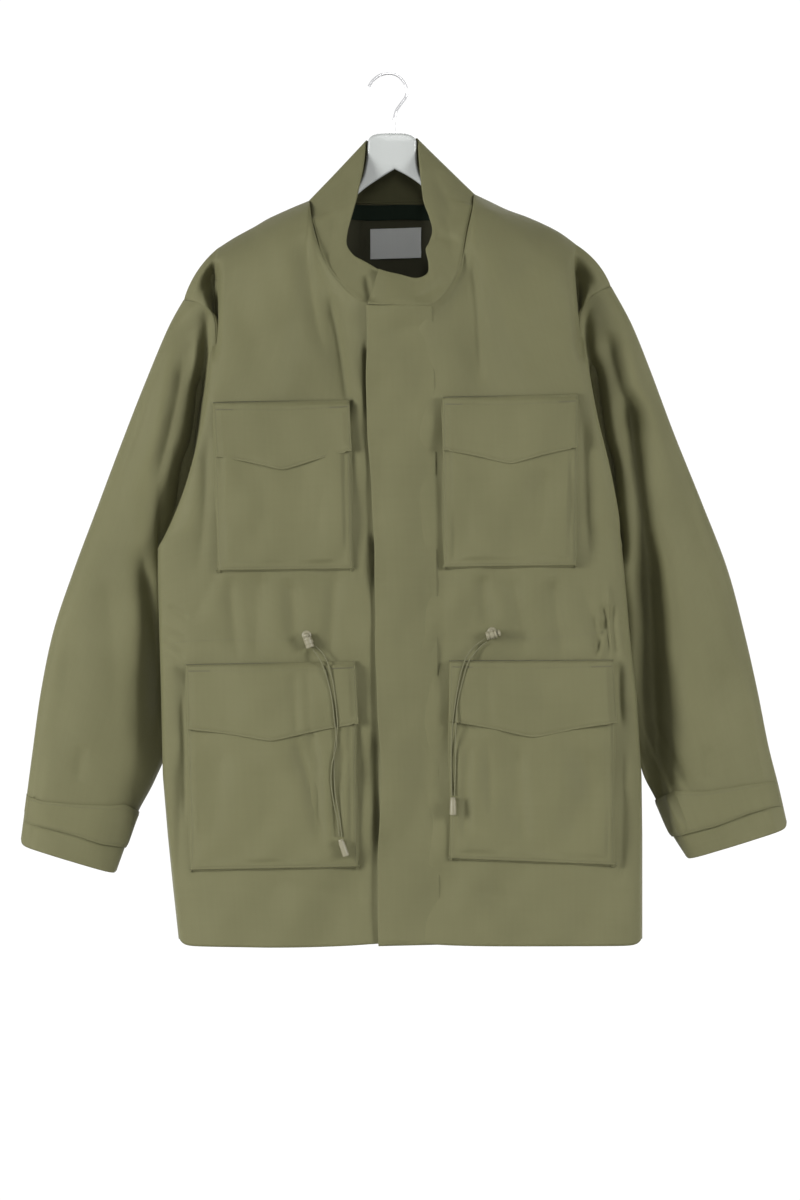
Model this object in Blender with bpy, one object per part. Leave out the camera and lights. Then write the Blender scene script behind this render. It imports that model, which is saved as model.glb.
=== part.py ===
"""A raincoat on a hanger: olive field coat with a stand collar, four bellows pockets, a waist cord
and cuff tabs, hung on a moulded hanger with a wire hook.

World frame: metres, +Z up, the coat's front faces -Y, its hanger runs along X. The origin is the
inside top of the hook, where a rail would carry it. "Left" and "right" are the viewer's.
The tables below are in millimetres.
"""
import math

import bmesh
import bpy
from mathutils import Vector
from mathutils.bvhtree import BVHTree

MM = 0.001

# ---------------------------------------------------------------- driving dimensions (millimetres)
CLOTH = 1.6                 # shell cloth with its taped lining
STIFF_CLOTH = 2.2           # two layers with interlining: collar, fly, flaps, tabs
SEAM_GAP = 0.3              # between pieces where they are sewn
FRONT_X = 10                # where the two fronts meet, under the fly
FRONT_DEPTH = 54            # how far the fronts stand before the side seams' plane
BACK_DEPTH = 42             # how far the back stands behind it
SIDE_Y = -10                # the side seam, a little to the front
EDGE_FRONT = 27             # depth at the fold where a front turns in to its seam
EDGE_BACK = 22
HEM_Z = -1043               # hem of the front left, which hangs lowest
SHOULDER_ROLL = 34          # how fast the cloth falls away from the shoulder ridge
ROWS_BELOW = 8              # grid rows from underarm to hem
STRIP = 4                   # grid columns that turn in from the fold to the armhole seam
CAP_PUFF = 4.5              # how far that strip bows out over the shoulder
CAP_CREST = 6.0             # the crest and the dip where it folds at the hanger's end
CAP_DIP = 9.0

# The neck seam, centre front to shoulder, and the collar's top edge over the same stations.
NECK_LEFT = (
    # seam x, z, y      top x, z, y
    (8, -278, -64,      5, -241, -47),
    (-8, -278, -63,     -10, -236, -46),
    (-26, -277, -61,    -22, -229, -45),
    (-38, -270, -58,    -31, -224, -44),
    (-53, -257, -53,    -41, -218, -42),
    (-71, -233, -46,    -49, -206, -39),
    (-82, -208, -39,    -48, -190, -36),
    (-90, -179, -29,    -42, -166, -33),
    (-94, -150, 0,      -27, -80, 0),
)
NECK_RIGHT = (
    (12, -278, -66,     14, -242, -51),
    (24, -278, -66,     34, -246, -51),
    (38, -278, -65,     47, -240, -49),
    (53, -277, -62,     48, -227, -47),
    (67, -266, -57,     45, -212, -45),
    (79, -247, -50,     49, -203, -42),
    (89, -221, -43,     53, -188, -38),
    (95, -189, -34,     49, -171, -34),
    (101, -161, -20,    43, -154, -30),
    (103, -142, 0,      36, -78, 0),
)
NECK_BACK = (
    (-84, -150, 16,     -23, -79, 9),
    (-64, -151, 32,     -17, -77, 14),
    (-31, -150, 42,     -6, -77, 18),
    (5, -149, 45,       5, -76, 19),
    (41, -148, 42,      16, -76, 18),
    (74, -145, 32,      26, -76, 14),
    (95, -143, 16,      32, -76, 9),
)
NECK_LOOP = [Vector((row[0], row[2], row[1])) for row in NECK_LEFT + NECK_BACK + NECK_RIGHT[::-1]]
# The lap of the collar's right end over the left one.
COLLAR_LAP = (
    (-24, -277, -68,    -11, -235, -53),
    (-8, -278, -68.5,   0, -238.5, -53.5),
    (3, -278, -68.5,    7, -240, -53),
)
# Stations that open the collar's fold at the side of the neck: share of the way along the seam's
# last piece, and the top edge there.
COLLAR_FAN_LEFT = ((0.3, -38, -150, -30), (0.6, -34, -130, -24), (0.85, -29.5, -105, -14))
COLLAR_FAN_RIGHT = ((0.3, 40.5, -135, -24), (0.65, 38, -106, -15))

# The shoulder seam from neck to the end of the hanger: x, z.
SHOULDER_LEFT = ((-94, -150), (-111, -157), (-127, -164), (-144, -172), (-161, -182), (-183, -194),
                 (-205, -208))
SHOULDER_RIGHT = ((103, -142), (122, -151), (143, -161), (165, -169), (186, -178), (207, -189),
                  (226, -203))

# Rows from the shoulder down to the underarm: the fold where the body turns in, and the armhole
# seam behind it (x, z each), with the seam's depth on the front and on the back.
ARMHOLE_LEFT = (
    # fold x, z      seam x, z     front y, back y
    (-205, -208,    -241, -271,     0, 0),
    (-208, -224,    -235, -273,    -9, 8),
    (-209, -244,    -228, -274,   -13, 12),
    (-209, -263,    -220, -278,   -14, 13),
    (-209, -284,    -208, -290,   -13, 12),
    (-211, -312,    -205, -316,   -12, 10),
    (-213, -344,    -206, -347,   -12, 9),
    (-217, -380,    -210, -383,   -12, 8),
    (-224, -420,    -217, -422,   -12, 7),
    (-233, -460,    -226, -462,   -12, 6),
    (-244, -498,    -240, -500,   -12, 6),
    (-259, -536,    -257, -539,   -12, 1),
    (-274, -568,    -276, -568,   -10, -10),
)
ARMHOLE_RIGHT = (
    (226, -203,      268, -254,     0, 0),
    (224, -220,      261, -257,    -9, 8),
    (225, -239,      252, -261,   -13, 12),
    (227, -258,      242, -268,   -14, 13),
    (230, -282,      230, -288,   -13, 12),
    (234, -312,      228, -316,   -12, 10),
    (239, -344,      232, -347,   -12, 9),
    (245, -380,      238, -383,   -12, 8),
    (253, -420,      246, -422,   -12, 7),
    (263, -460,      256, -462,   -12, 6),
    (271, -498,      267, -500,   -12, 6),
    (277, -536,      275, -539,   -12, 1),
    (278, -568,      280, -568,   -10, -10),
)
# The side seams from underarm to hem: z, left x, right x.
SIDE_SEAMS = (
    (-568, -276, 280),
    (-606, -276, 284),
    (-678, -274, 290),
    (-750, -272, 298),
    (-846, -270, 304),
    (-918, -264, 305),
    (-978, -258, 305),
    (-1043, -251, 305),
)
# Sleeve stations: the outer and the inner edge in the front view, their depths, half depth of the
# tube before and behind.
SLEEVE_LEFT = (
    # outer x, z      inner x, z      outer y, inner y, before, behind
    (-241, -271,     -276, -568,      0, -10,   14, 12),
    (-265, -306,     -288, -588,      0, 5,     30, 26),
    (-295, -378,     -282, -630,      0, 16,    36, 30),
    (-323, -450,     -275, -678,      0, 22,    37, 31),
    (-350, -522,     -270, -720,     -1, 24,    37, 31),
    (-377, -594,     -268, -762,     -2, 24,    36, 30),
    (-401, -666,     -273, -804,     -4, 22,    34, 29),
    (-416, -738,     -283, -848,     -6, 17,    31, 27),
    (-426, -810,     -300, -884,     -8, 12,    28, 25),
    (-433, -864,     -312, -916,    -10, 8,     26, 23),
    (-440, -916,     -326, -955,    -10, 6,     25, 22),
)
SLEEVE_RIGHT = (
    (268, -254,      280, -568,      0, -10,   14, 12),
    (292, -298,      298, -588,      0, 5,     30, 26),
    (314, -352,      292, -630,      0, 16,    36, 30),
    (344, -432,      291, -678,      0, 22,    37, 31),
    (377, -514,      290, -720,     -1, 24,    37, 31),
    (407, -592,      294, -762,     -2, 24,    36, 30),
    (427, -667,      298, -804,     -4, 22,    34, 29),
    (443, -738,      307, -840,     -6, 17,    31, 27),
    (456, -804,      322, -870,     -8, 12,    28, 25),
    (468, -852,      338, -906,    -10, 8,     26, 23),
    (478, -896,      358, -938,    -10, 6,     25, 22),
)
SLEEVE_RINGS = 18
TAB_CLEAR = 1.2             # between a sleeve and what is laid round it
SLEEVE_MIDDLE = {True: Vector((-385, -1, -900)), False: Vector((423, -1, -880))}  # by "is left"
# Soft folds seen from the front, as straight troughs (depth below 0 is a ridge).
FOLDS = (
    # x0, z0, x1, z1, half width, depth
    (-70, -270, -50, -390, 16, 5),       # falls from the collar, left
    (82, -262, 60, -330, 12, 4),         # falls from the collar, right
    (-214, -470, -224, -600, 9, 4),      # beside the chest pocket, left
    (222, -470, 232, -600, 9, 4),        # beside the chest pocket, right
    (-150, -608, -155, -690, 14, 4),     # into the waist cord, left
    (-250, -660, -222, -684, 8, 5),      # gathers at the side, left
    (258, -620, 268, -700, 7, 5),        # gathers at the side, right
    (276, -630, 284, -710, 5, 5),
    (243, -640, 246, -690, 6, 4),
    (-80, -800, -100, -960, 20, 5),      # over the hip pocket, left
    (150, -610, 165, -690, 16, 4),       # into the waist cord, right
)
SLEEVE_FOLDS = (
    (-222, -324, -240, -450, 7, 16),     # beside the body, left
    (-240, -450, -252, -540, 8, 12),
    (-305, -582, -298, -690, 18, 6),
    (-298, -690, -282, -830, 18, 8),
    (246, -318, 256, -400, 7, 12),       # beside the body, right
    (256, -400, 270, -500, 8, 16),
    (262, -280, 302, -400, 12, 8),       # the long valley down the right sleeve
    (302, -400, 314, -560, 18, 12),
    (314, -560, 324, -760, 22, 14),
    (324, -760, 338, -860, 14, 6),
)
# Patch pockets: corners of the bag in the front view (top left, top right, bottom right, bottom
# left), the two lower corners of the flap and its point.
POCKETS = {
    "chest_left": ((-209, -394), (-46, -391), (-42, -593), (-202, -595),
                   (-205, -458), (-43, -451), (-125, -475)),
    "chest_right": ((65, -388), (227, -384), (224, -589), (67, -591),
                    (65, -450), (226, -447), (146, -468)),
    "hip_left": ((-241, -709), (-39, -706), (-36, -948), (-235, -952),
                 (-239, -783), (-35, -776), (-139, -798)),
    "hip_right": ((73, -702), (269, -701), (270, -946), (75, -938),
                  (73, -773), (274, -775), (173, -794)),
}
POCKET_STAND = 3.4          # room under a pocket bag
POCKET_TURN = 5             # width of its turned edge
POCKET_MOUTH = 18           # height over which the bag rises under the flap
FLAP_SEAM = 10              # how far the flap's seam is above the bag
# The fly: x of its free edge and of its sewn edge at each height.
FLY = (
    # z, free x, sewn x
    (-281.5, -26, 53),
    (-390, -26, 57),
    (-510, -20, 58),
    (-583, -15, 59),
    (-697, -16, 60),
    (-762, -12, 61),
    (-835, -8, 62),
    (-870, -10, 62),
    (-950, -12, 62),
    (-1040, -12, 62),
)
# Waist cords: route of each strand, x, z and how far it is lifted off what it lies on.
CORDS = {
    "cord_left_a": ((-87, -685, 5), (-77, -694, 4), (-70, -710, 1), (-65, -730, 0),
                    (-62, -755, 0), (-60, -778, 0), (-62, -795, 0), (-64, -812, 0),
                    (-64, -835, 0), (-63, -858, 0), (-60, -876, 0), (-57, -893, 0),
                    (-55, -912, 1)),
    "cord_left_b": ((-89.5, -689, 5), (-82, -699, 4), (-76, -712, 1), (-70.5, -730, 0),
                    (-66, -752, 0), (-64, -772, 0.5), (-62, -786, 2.8), (-61, -801, 3.2),
                    (-64, -815, 3.2), (-67, -829, 1.5), (-67.5, -850, 0), (-64, -874, 0),
                    (-60, -893, 0), (-58, -911, 1)),
    "cord_right_a": ((116, -676, 5), (107, -682, 4), (98, -691, 1), (91, -704, 0),
                     (84.5, -728, 0), (78.5, -765, 0), (76.5, -790, 3), (75.5, -812, 0),
                     (75.5, -835, 0), (76, -863, 1)),
    "cord_right_b": ((117.5, -680, 5), (110, -686, 4), (102, -695, 1), (95, -706, 0),
                     (89, -726, 0), (83, -752, 0), (81, -778, 2), (80.5, -803, 0),
                     (80.5, -830, 0), (79.2, -863, 1)),
}
CORD_DIAMETER = 2
HOOK_WIRE = 3.8
HOOK_PATH = ((-23, -14), (-18, -6.5), (-10, -0.6), (0, 1.9), (10, 0), (18, -7), (22.5, -17),
             (21.5, -26), (16, -34), (10.5, -42), (8, -50), (7, -58), (7, -69.2))
HANGER_TOP_Z = -69.8        # crown of the hanger's head
HANGER_THICK = 12

COAT = bpy.data.collections.new("raincoat_on_a_hanger")
GUIDES = bpy.data.collections.new("cutters")


# ------------------------------------------------------------------------------- shared helpers
def clear_scene():
    for thing in list(bpy.data.objects):
        bpy.data.objects.remove(thing, do_unlink=True)
    for group in (COAT, GUIDES):
        bpy.context.scene.collection.children.link(group)


def material(name, colour, roughness, metallic=0.0):
    mat = bpy.data.materials.get(name)
    if mat is None:
        mat = bpy.data.materials.new(name)
        mat.use_nodes = True
        shader = mat.node_tree.nodes["Principled BSDF"]
        shader.inputs["Base Color"].default_value = (*colour, 1.0)
        shader.inputs["Roughness"].default_value = roughness
        shader.inputs["Metallic"].default_value = metallic
    return mat


def shell_material():
    return material("olive_shell", (0.185, 0.175, 0.095), 0.62)


def along(rows, share):
    """A smooth reading of a table at 0..1 along its rows."""
    place = max(0.0, min(1.0, share)) * (len(rows) - 1)
    i = min(int(place), len(rows) - 2)
    t = place - i
    before, a, b, after = (rows[max(i - 1, 0)], rows[i], rows[i + 1], rows[min(i + 2, len(rows) - 1)])
    return tuple(0.5 * (2 * q + (r - p) * t + (2 * p - 5 * q + 4 * r - s) * t * t
                        + (3 * q - p - 3 * r + s) * t ** 3)
                 for p, q, r, s in zip(before, a, b, after))


def at_height(rows, z, column):
    """A straight reading of a table whose first column is a falling height."""
    for upper, lower in zip(rows, rows[1:]):
        if z >= lower[0]:
            t = (z - upper[0]) / (lower[0] - upper[0])
            return upper[column] + (lower[column] - upper[column]) * max(t, 0.0)
    return rows[-1][column]


def smoothstep(low, high, value):
    t = max(0.0, min(1.0, (value - low) / (high - low)))
    return t * t * (3 - 2 * t)


def trough(folds, x, z):
    """Depth of the soft folds at a place in the front view."""
    depth = 0.0
    for x0, z0, x1, z1, width, deep in folds:
        run_x, run_z = x1 - x0, z1 - z0
        length = math.hypot(run_x, run_z)
        t = ((x - x0) * run_x + (z - z0) * run_z) / length ** 2
        off = abs((x - x0) * run_z - (z - z0) * run_x) / length
        past = max(0.0, -t, t - 1.0) * length
        depth += deep * math.exp(-(off / width) ** 2 - (past / (2.2 * width)) ** 2)
    return depth


def finish(name, bm, mat):
    """Close the bmesh into a named object with its faces pointing out."""
    bmesh.ops.recalc_face_normals(bm, faces=bm.faces)
    if bm.calc_volume(signed=True) < 0:
        bmesh.ops.reverse_faces(bm, faces=bm.faces)
    mesh = bpy.data.meshes.new(name)
    bm.to_mesh(mesh)
    bm.free()
    return own(name, mesh, mat)


def own(name, mesh, mat):
    thing = bpy.data.objects.new(name, mesh)
    mesh.materials.append(mat)
    mesh.shade_smooth()
    mesh.set_sharp_from_angle(angle=math.radians(50))
    COAT.objects.link(thing)
    return thing


def grid_mesh(points, closed=False):
    """An open bmesh of quads over rows of points; closed joins the last column to the first."""
    rows, cols = len(points), len(points[0])
    bm = bmesh.new()
    spans = cols if closed else cols - 1
    bmesh.ops.create_grid(bm, x_segments=spans, y_segments=rows - 1, size=1.0)
    for vert in bm.verts:
        i = round((vert.co.y + 1) / 2 * (rows - 1))
        j = round((vert.co.x + 1) / 2 * spans)
        vert.co = Vector(points[i][j % cols]) * MM
    if closed:
        bmesh.ops.remove_doubles(bm, verts=bm.verts, dist=0.00001)
    return bm


def wall(name, points, thickness, mat, closed=False, outside=None, lean=None):
    """A cloth wall: the outer points, and the same points moved inward by its thickness.

    outside tells which way is out at the middle of the grid; lean gives, for a point near a seam,
    the direction that both pieces of the seam share.
    """
    bm = grid_mesh(points, closed)
    bm.normal_update()
    middle = min(bm.faces, key=lambda face: (face.calc_center_median() - Vector(outside[0]) * MM).length)
    if middle.normal.dot(Vector(outside[1])) < 0:
        bmesh.ops.reverse_faces(bm, faces=bm.faces)
        bm.normal_update()
    inward = {}
    for vert in bm.verts:
        way = vert.normal.copy()
        if lean:
            shared = lean(vert.co / MM)
            way = (way + Vector(shared)).normalized() if shared else way
        inward[vert] = way * (-thickness * MM)
    outer = list(bm.verts)
    made = bmesh.ops.extrude_face_region(bm, geom=bm.faces[:])
    copies = [item for item in made["geom"] if isinstance(item, bmesh.types.BMVert)]
    places = {tuple(round(c, 8) for c in vert.co): vert for vert in outer}
    for copy in copies:
        twin = places[tuple(round(c, 8) for c in copy.co)]
        copy.co += inward[twin]
    return finish(name, bm, mat)


def trim_edges(points, gap, top=True, bottom=True, left=True, right=True):
    """Draw a grid's edges back along its own surface by a seam's share of the gap."""
    rows = [[Vector(p) for p in row] for row in points]

    def pull(edge, inner):
        run = inner - edge
        return edge + run.normalized() * gap if run.length > gap else edge

    if left or right:
        for row in rows:
            if left:
                row[0] = pull(row[0], row[1])
            if right:
                row[-1] = pull(row[-1], row[-2])
    for j in range(len(rows[0])):
        if top:
            rows[0][j] = pull(rows[0][j], rows[1][j])
        if bottom:
            rows[-1][j] = pull(rows[-1][j], rows[-2][j])
    return rows


# --------------------------------------------------------------------------------------- the body
def side_rows(armhole, side_column):
    """Rows from shoulder to hem: fold x, z, seam x, z, seam depth front, back, below the underarm."""
    rows = [(*row, 0.0) for row in armhole]
    under = armhole[-1][1]
    for step in range(1, ROWS_BELOW + 1):
        z = under + (HEM_Z - under) * step / ROWS_BELOW
        x = at_height(SIDE_SEAMS, z, side_column)
        turn = math.copysign(2.0, x)
        rows.append((x - turn, z, x, z, SIDE_Y, SIDE_Y, step / ROWS_BELOW))
    return rows


def fall(depth_below, share):
    """Share of the edge's own depth that is left at a distance below the top edge."""
    return math.exp(-(max(depth_below, 0.0) / SHOULDER_ROLL) ** 0.85) * share


def panel_points(top, rows, centre, bulge, edge, sign, squareness):
    """One half of the body, front (sign -1) or back (1): columns from the centre to the seam."""
    fold_top_x = rows[0][0]
    count = len(top) - 1
    points = []
    for r, (fold_x, fold_z, seam_x, seam_z, front_y, back_y, below) in enumerate(rows):
        drop = (rows[0][1] - fold_z) / (rows[0][1] - HEM_Z)
        seam_y = front_y if sign < 0 else back_y
        power = squareness[0] + (squareness[1] - squareness[0]) * smoothstep(0.28, 0.44, drop)
        edge_y = edge[0] + (edge[1] - edge[0]) * smoothstep(0.30, 0.46, drop)
        row = []
        for i, (top_x, top_z, top_y) in enumerate(top):
            g = i / count
            even = 1 - (1 - g) ** 1.35
            at_top = (top_x - centre) / (fold_top_x - centre)
            mix = smoothstep(0.0, 0.36, drop)
            share = at_top + (even - at_top) * mix
            x = centre + (fold_x - centre) * share
            z = top_z + (HEM_Z - top_z) * drop
            full = edge_y + (bulge - edge_y) * max(0.0, 1 - share ** power) ** (1 / power)
            left = fall(top_z - z, 1.0)
            y = sign * full * (1 - left) + top_y * left
            if sign < 0:
                y += trough(FOLDS, x, z) * (1 - share ** 6)
            row.append((x, y, z))
        fold = row[-1]
        seam = (seam_x, seam_y, seam_z)
        outward = math.copysign(1.0, fold_x)
        cap = 1 - smoothstep(0.0, 4.0, r)
        for j in range(1, STRIP + 1):
            s = j / STRIP
            bow = 4 * s * (1 - s)
            puff = CAP_PUFF * cap + 0.5 * (1 - cap) * (1 - below)
            x = fold[0] + (seam[0] - fold[0]) * s + outward * bow * puff
            z = fold[2] + (seam[2] - fold[2]) * s + bow * 3.0 * cap
            y = fold[1] + (seam[1] - fold[1]) * s
            ridge = smoothstep(0.5, 3.0, r) * (1 - smoothstep(3.0, 4.5, r))
            crest = math.exp(-((s - 0.75) / 0.25) ** 2)
            dip = math.exp(-((s - 0.3) / 0.18) ** 2)
            y += sign * ridge * (CAP_CREST * crest - CAP_DIP * dip)
            row.append((x, y, z))
        points.append(row)
    return points


def front_top(neck, shoulder):
    return [(x, z, y) for x, z, y, *_ in neck] + [(x, z, 0.0) for x, z in shoulder[1:]]


def seam_lean(point):
    """The way out that both pieces share at the neck seam and along the shoulder ridge."""
    x, y, z = point
    for k in range(len(NECK_LOOP) - 1):
        a, b = NECK_LOOP[k], NECK_LOOP[k + 1]
        run = b - a
        t = max(0.0, min(1.0, (Vector(point) - a).dot(run) / run.length_squared))
        if (Vector(point) - a - run * t).length < 5.0:
            turn = math.atan2(abs(y) / 55, abs(x - FRONT_X) / 95)
            return (math.copysign(14.0, x - FRONT_X) * math.cos(turn),
                    math.copysign(30.0, y) * math.sin(turn), 26.0 * math.cos(turn))
    if z < ARMHOLE_LEFT[-1][1] and abs(y - SIDE_Y) < 3.0:
        return (math.copysign(20.0, x), 0.0, 0.0)
    ridge = at_ridge(x)
    if ridge is None:
        return None
    height, out_x, out_z = ridge
    near = 30.0 * (1 - smoothstep(0.5, 12.0, height - z))
    return (out_x * near, 0.0, out_z * near) if near > 0 else None


def at_ridge(x):
    """The shoulder ridge's height at x, and the way out across it in the front view."""
    line = SHOULDER_LEFT + ((-216, -220), (-227, -235), (-238, -252), (-242, -271))
    if x > 0:
        line = SHOULDER_RIGHT + ((236, -209), (248, -220), (258, -232), (269, -254))
    for a, b in zip(line, line[1:]):
        if min(a[0], b[0]) - 0.5 <= x <= max(a[0], b[0]) + 0.5:
            run_x, run_z = b[0] - a[0], b[1] - a[1]
            length = math.hypot(run_x, run_z)
            way = -run_z / length * math.copysign(1, run_x)
            return a[1] + run_z * (x - a[0]) / run_x, way, abs(run_x) / length
    return None


def front_points(side):
    left = side == "left"
    neck = NECK_LEFT if left else NECK_RIGHT
    rows = side_rows(ARMHOLE_LEFT if left else ARMHOLE_RIGHT, 1 if left else 2)
    top = front_top(neck, SHOULDER_LEFT if left else SHOULDER_RIGHT)
    centre = FRONT_X - 0.5 if left else FRONT_X + 0.5
    top[0] = (centre, top[0][1], top[0][2])
    return panel_points(top, rows, centre, FRONT_DEPTH, (EDGE_FRONT, 25), -1, (4.6, 3.2))


def back_points():
    halves = []
    for neck, shoulder, armhole, column in ((NECK_LEFT, SHOULDER_LEFT, ARMHOLE_LEFT, 1),
                                            (NECK_RIGHT, SHOULDER_RIGHT, ARMHOLE_RIGHT, 2)):
        centre = NECK_BACK[3]
        arc = NECK_BACK[:3][::-1] if column == 1 else NECK_BACK[4:]
        end = neck[-1]
        top = [(p[0], p[1], p[2]) for p in (centre, *arc)] + [(end[0], end[1], 0.0)]
        top += [(x, z, 0.0) for x, z in shoulder[1:]]
        rows = side_rows(armhole, column)
        halves.append(panel_points(top, rows, centre[0], BACK_DEPTH, (EDGE_BACK, -3), 1, (3.4, 2.0)))
    return [left[::-1] + right[1:] for left, right in zip(*halves)]


def build_body():
    """The fronts and the back; returns the fronts' outer points."""
    shell = shell_material()
    fronts = {}
    for side in ("left", "right"):
        points = trim_edges(front_points(side), SEAM_GAP / 2)
        fronts[side] = points
        wall(f"front_{side}", points, CLOTH, shell, outside=((0, -50, -700), (0, -1, 0)),
             lean=seam_lean)
    back = trim_edges(back_points(), SEAM_GAP / 2)
    wall("back", back, CLOTH, shell, outside=((0, 50, -700), (0, 1, 0)), lean=seam_lean)
    return fronts


# ----------------------------------------------------------------------------------------- sleeves
def sleeve_point(table, seam, share, turn):
    """A point of a sleeve; turn runs 0..1 over the front from outer to inner edge, 1..2 over the back."""
    turn %= 2
    outer_x, outer_z, inner_x, inner_z, outer_y, inner_y, before, behind = along(table, share)
    s = turn if turn <= 1 else 2 - turn
    across = (1 - math.cos(math.pi * s)) / 2
    belly = math.sin(math.pi * s) ** (1.0 + 0.5 * s * (1 - smoothstep(0.2, 0.6, share)))
    depth = -before if turn <= 1 else behind
    base = Vector((outer_x + (inner_x - outer_x) * across,
                   outer_y + (inner_y - outer_y) * across + depth * belly,
                   outer_z + (inner_z - outer_z) * across))
    start = along(table, 0.0)
    depth0 = -start[6] if turn <= 1 else start[7]
    belly0 = math.sin(math.pi * s) ** (1 + 0.5 * s)
    chord = Vector((start[0] + (start[2] - start[0]) * across,
                    start[4] + (start[5] - start[4]) * across + depth0 * belly0,
                    start[1] + (start[3] - start[1]) * across))
    pull = seam - chord
    wide = max(0.0, 1 - share / 0.22) ** 3
    tall = max(0.0, 1 - share / 0.40) ** 2
    deep = max(0.0, 1 - share / 0.12) ** 2
    point = base + Vector((pull.x * wide, pull.y * deep, pull.z * tall))
    if turn <= 1:
        eased = math.sin(math.pi * s) ** 0.5 * smoothstep(0.01, 0.06, share)
        point.y += trough(SLEEVE_FOLDS, point.x, point.z) * eased
    return point


def sleeve_points(side):
    left = side == "left"
    table = SLEEVE_LEFT if left else SLEEVE_RIGHT
    armhole = ARMHOLE_LEFT if left else ARMHOLE_RIGHT
    front = [Vector((row[2], row[4], row[3])) for row in armhole]
    back = [Vector((row[2], row[5], row[3])) for row in armhole]
    loop = front + back[-2:0:-1]
    lengths = [0.0]
    for a, b in zip(front, front[1:]):
        lengths.append(lengths[-1] + (b - a).length)
    shares = [length / lengths[-1] for length in lengths]
    turns = [math.acos(1 - 2 * share) / math.pi for share in shares]
    turns += [2 - turn for turn in turns[-2:0:-1]]
    rows = []
    for k in range(SLEEVE_RINGS + 1):
        share = (k / SLEEVE_RINGS) ** 1.35
        rows.append([sleeve_point(table, seam, share, turn) for seam, turn in zip(loop, turns)])
    return trim_edges(rows, SEAM_GAP / 2, left=False, right=False, bottom=False)


def build_sleeves():
    for side, x in (("left", -340), ("right", 350)):
        wall(f"sleeve_{side}", sleeve_points(side), CLOTH, shell_material(), closed=True,
             outside=((x, -60, -600), (0, -1, 0)))


# ------------------------------------------------------------------------------------------ collar
def collar_stations():
    """Stations round the neck, from the hidden left end to the lap: seam point and top point."""
    def fan(neck, opening):
        low, high = neck[-2], neck[-1]
        return [(*(a + (b - a) * part for a, b in zip(low[:3], high[:3])), x, z, y)
                for part, x, z, y in opening]

    left = list(NECK_LEFT[:-1]) + fan(NECK_LEFT, COLLAR_FAN_LEFT) + [NECK_LEFT[-1]]
    right = list(NECK_RIGHT[:-1]) + fan(NECK_RIGHT, COLLAR_FAN_RIGHT) + [NECK_RIGHT[-1]]
    return left + list(NECK_BACK) + right[::-1] + list(COLLAR_LAP)[::-1]


def build_collar():
    steps = 4
    points = []
    for k in range(steps + 1):
        t = k / steps
        row = []
        for seam_x, seam_z, seam_y, top_x, top_z, top_y in collar_stations():
            top = Vector((top_x, top_y, top_z))
            row.append(top.lerp((seam_x, seam_y, seam_z), t))
        points.append(row)
    points = trim_edges(points, SEAM_GAP + 0.1, top=False)
    wall("collar", points, STIFF_CLOTH, shell_material(), outside=((70, -50, -250), (0.3, -1, 0)),
         lean=seam_lean)


# ------------------------------------------------------------------- pieces that lie on the coat
class Surface:
    """The outside of a built wall, read from the front as a depth at x, z."""

    def __init__(self, grids):
        self.trees = []
        for points in grids:
            bm = grid_mesh(points)
            self.trees.append(BVHTree.FromBMesh(bm))
            bm.free()

    def depth(self, x, z, reach=3.0):
        """The foremost depth within reach of a place, so that a flat piece clears the folds."""
        found = []
        for step_x in (-reach, 0, reach):
            for step_z in (-reach, 0, reach):
                start = Vector((x + step_x, -300, z + step_z)) * MM
                for tree in self.trees:
                    hit = tree.ray_cast(start, Vector((0, 1, 0)), 0.6)[0]
                    if hit is not None:
                        found.append(hit.y / MM)
        return min(found) if found else None


def laid(name, surface, corners, columns, rows, lower, stand, thickness, mat):
    """A piece on the coat: a grid between four corners (from the top left, clockwise), with its lower
    edge drawn down by lower(s), standing stand(s, t, x, z) before the surface."""
    (ax, az), (bx, bz), (cx, cz), (dx, dz) = corners
    outer = []
    for i in range(rows + 1):
        t = i / rows
        row = []
        for j in range(columns + 1):
            s = j / columns
            x = (ax + (bx - ax) * s) * (1 - t) + (dx + (cx - dx) * s) * t
            z = (az + (bz - az) * s) * (1 - t) + (dz + (cz - dz) * s) * t - lower(s) * t
            row.append((x, surface.depth(x, z) - stand(s, t, x, z) - thickness, z))
        outer.append(row)
    flat_wall(name, outer, thickness, mat)
    return outer


def flat_wall(name, points, thickness, mat):
    """A wall whose inner side is straight behind its outer one, as a laid piece has."""
    bm = grid_mesh(points)
    bm.normal_update()
    made = bmesh.ops.extrude_face_region(bm, geom=bm.faces[:])
    for item in made["geom"]:
        if isinstance(item, bmesh.types.BMVert):
            item.co.y += thickness * MM
    return finish(name, bm, mat)


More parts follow.
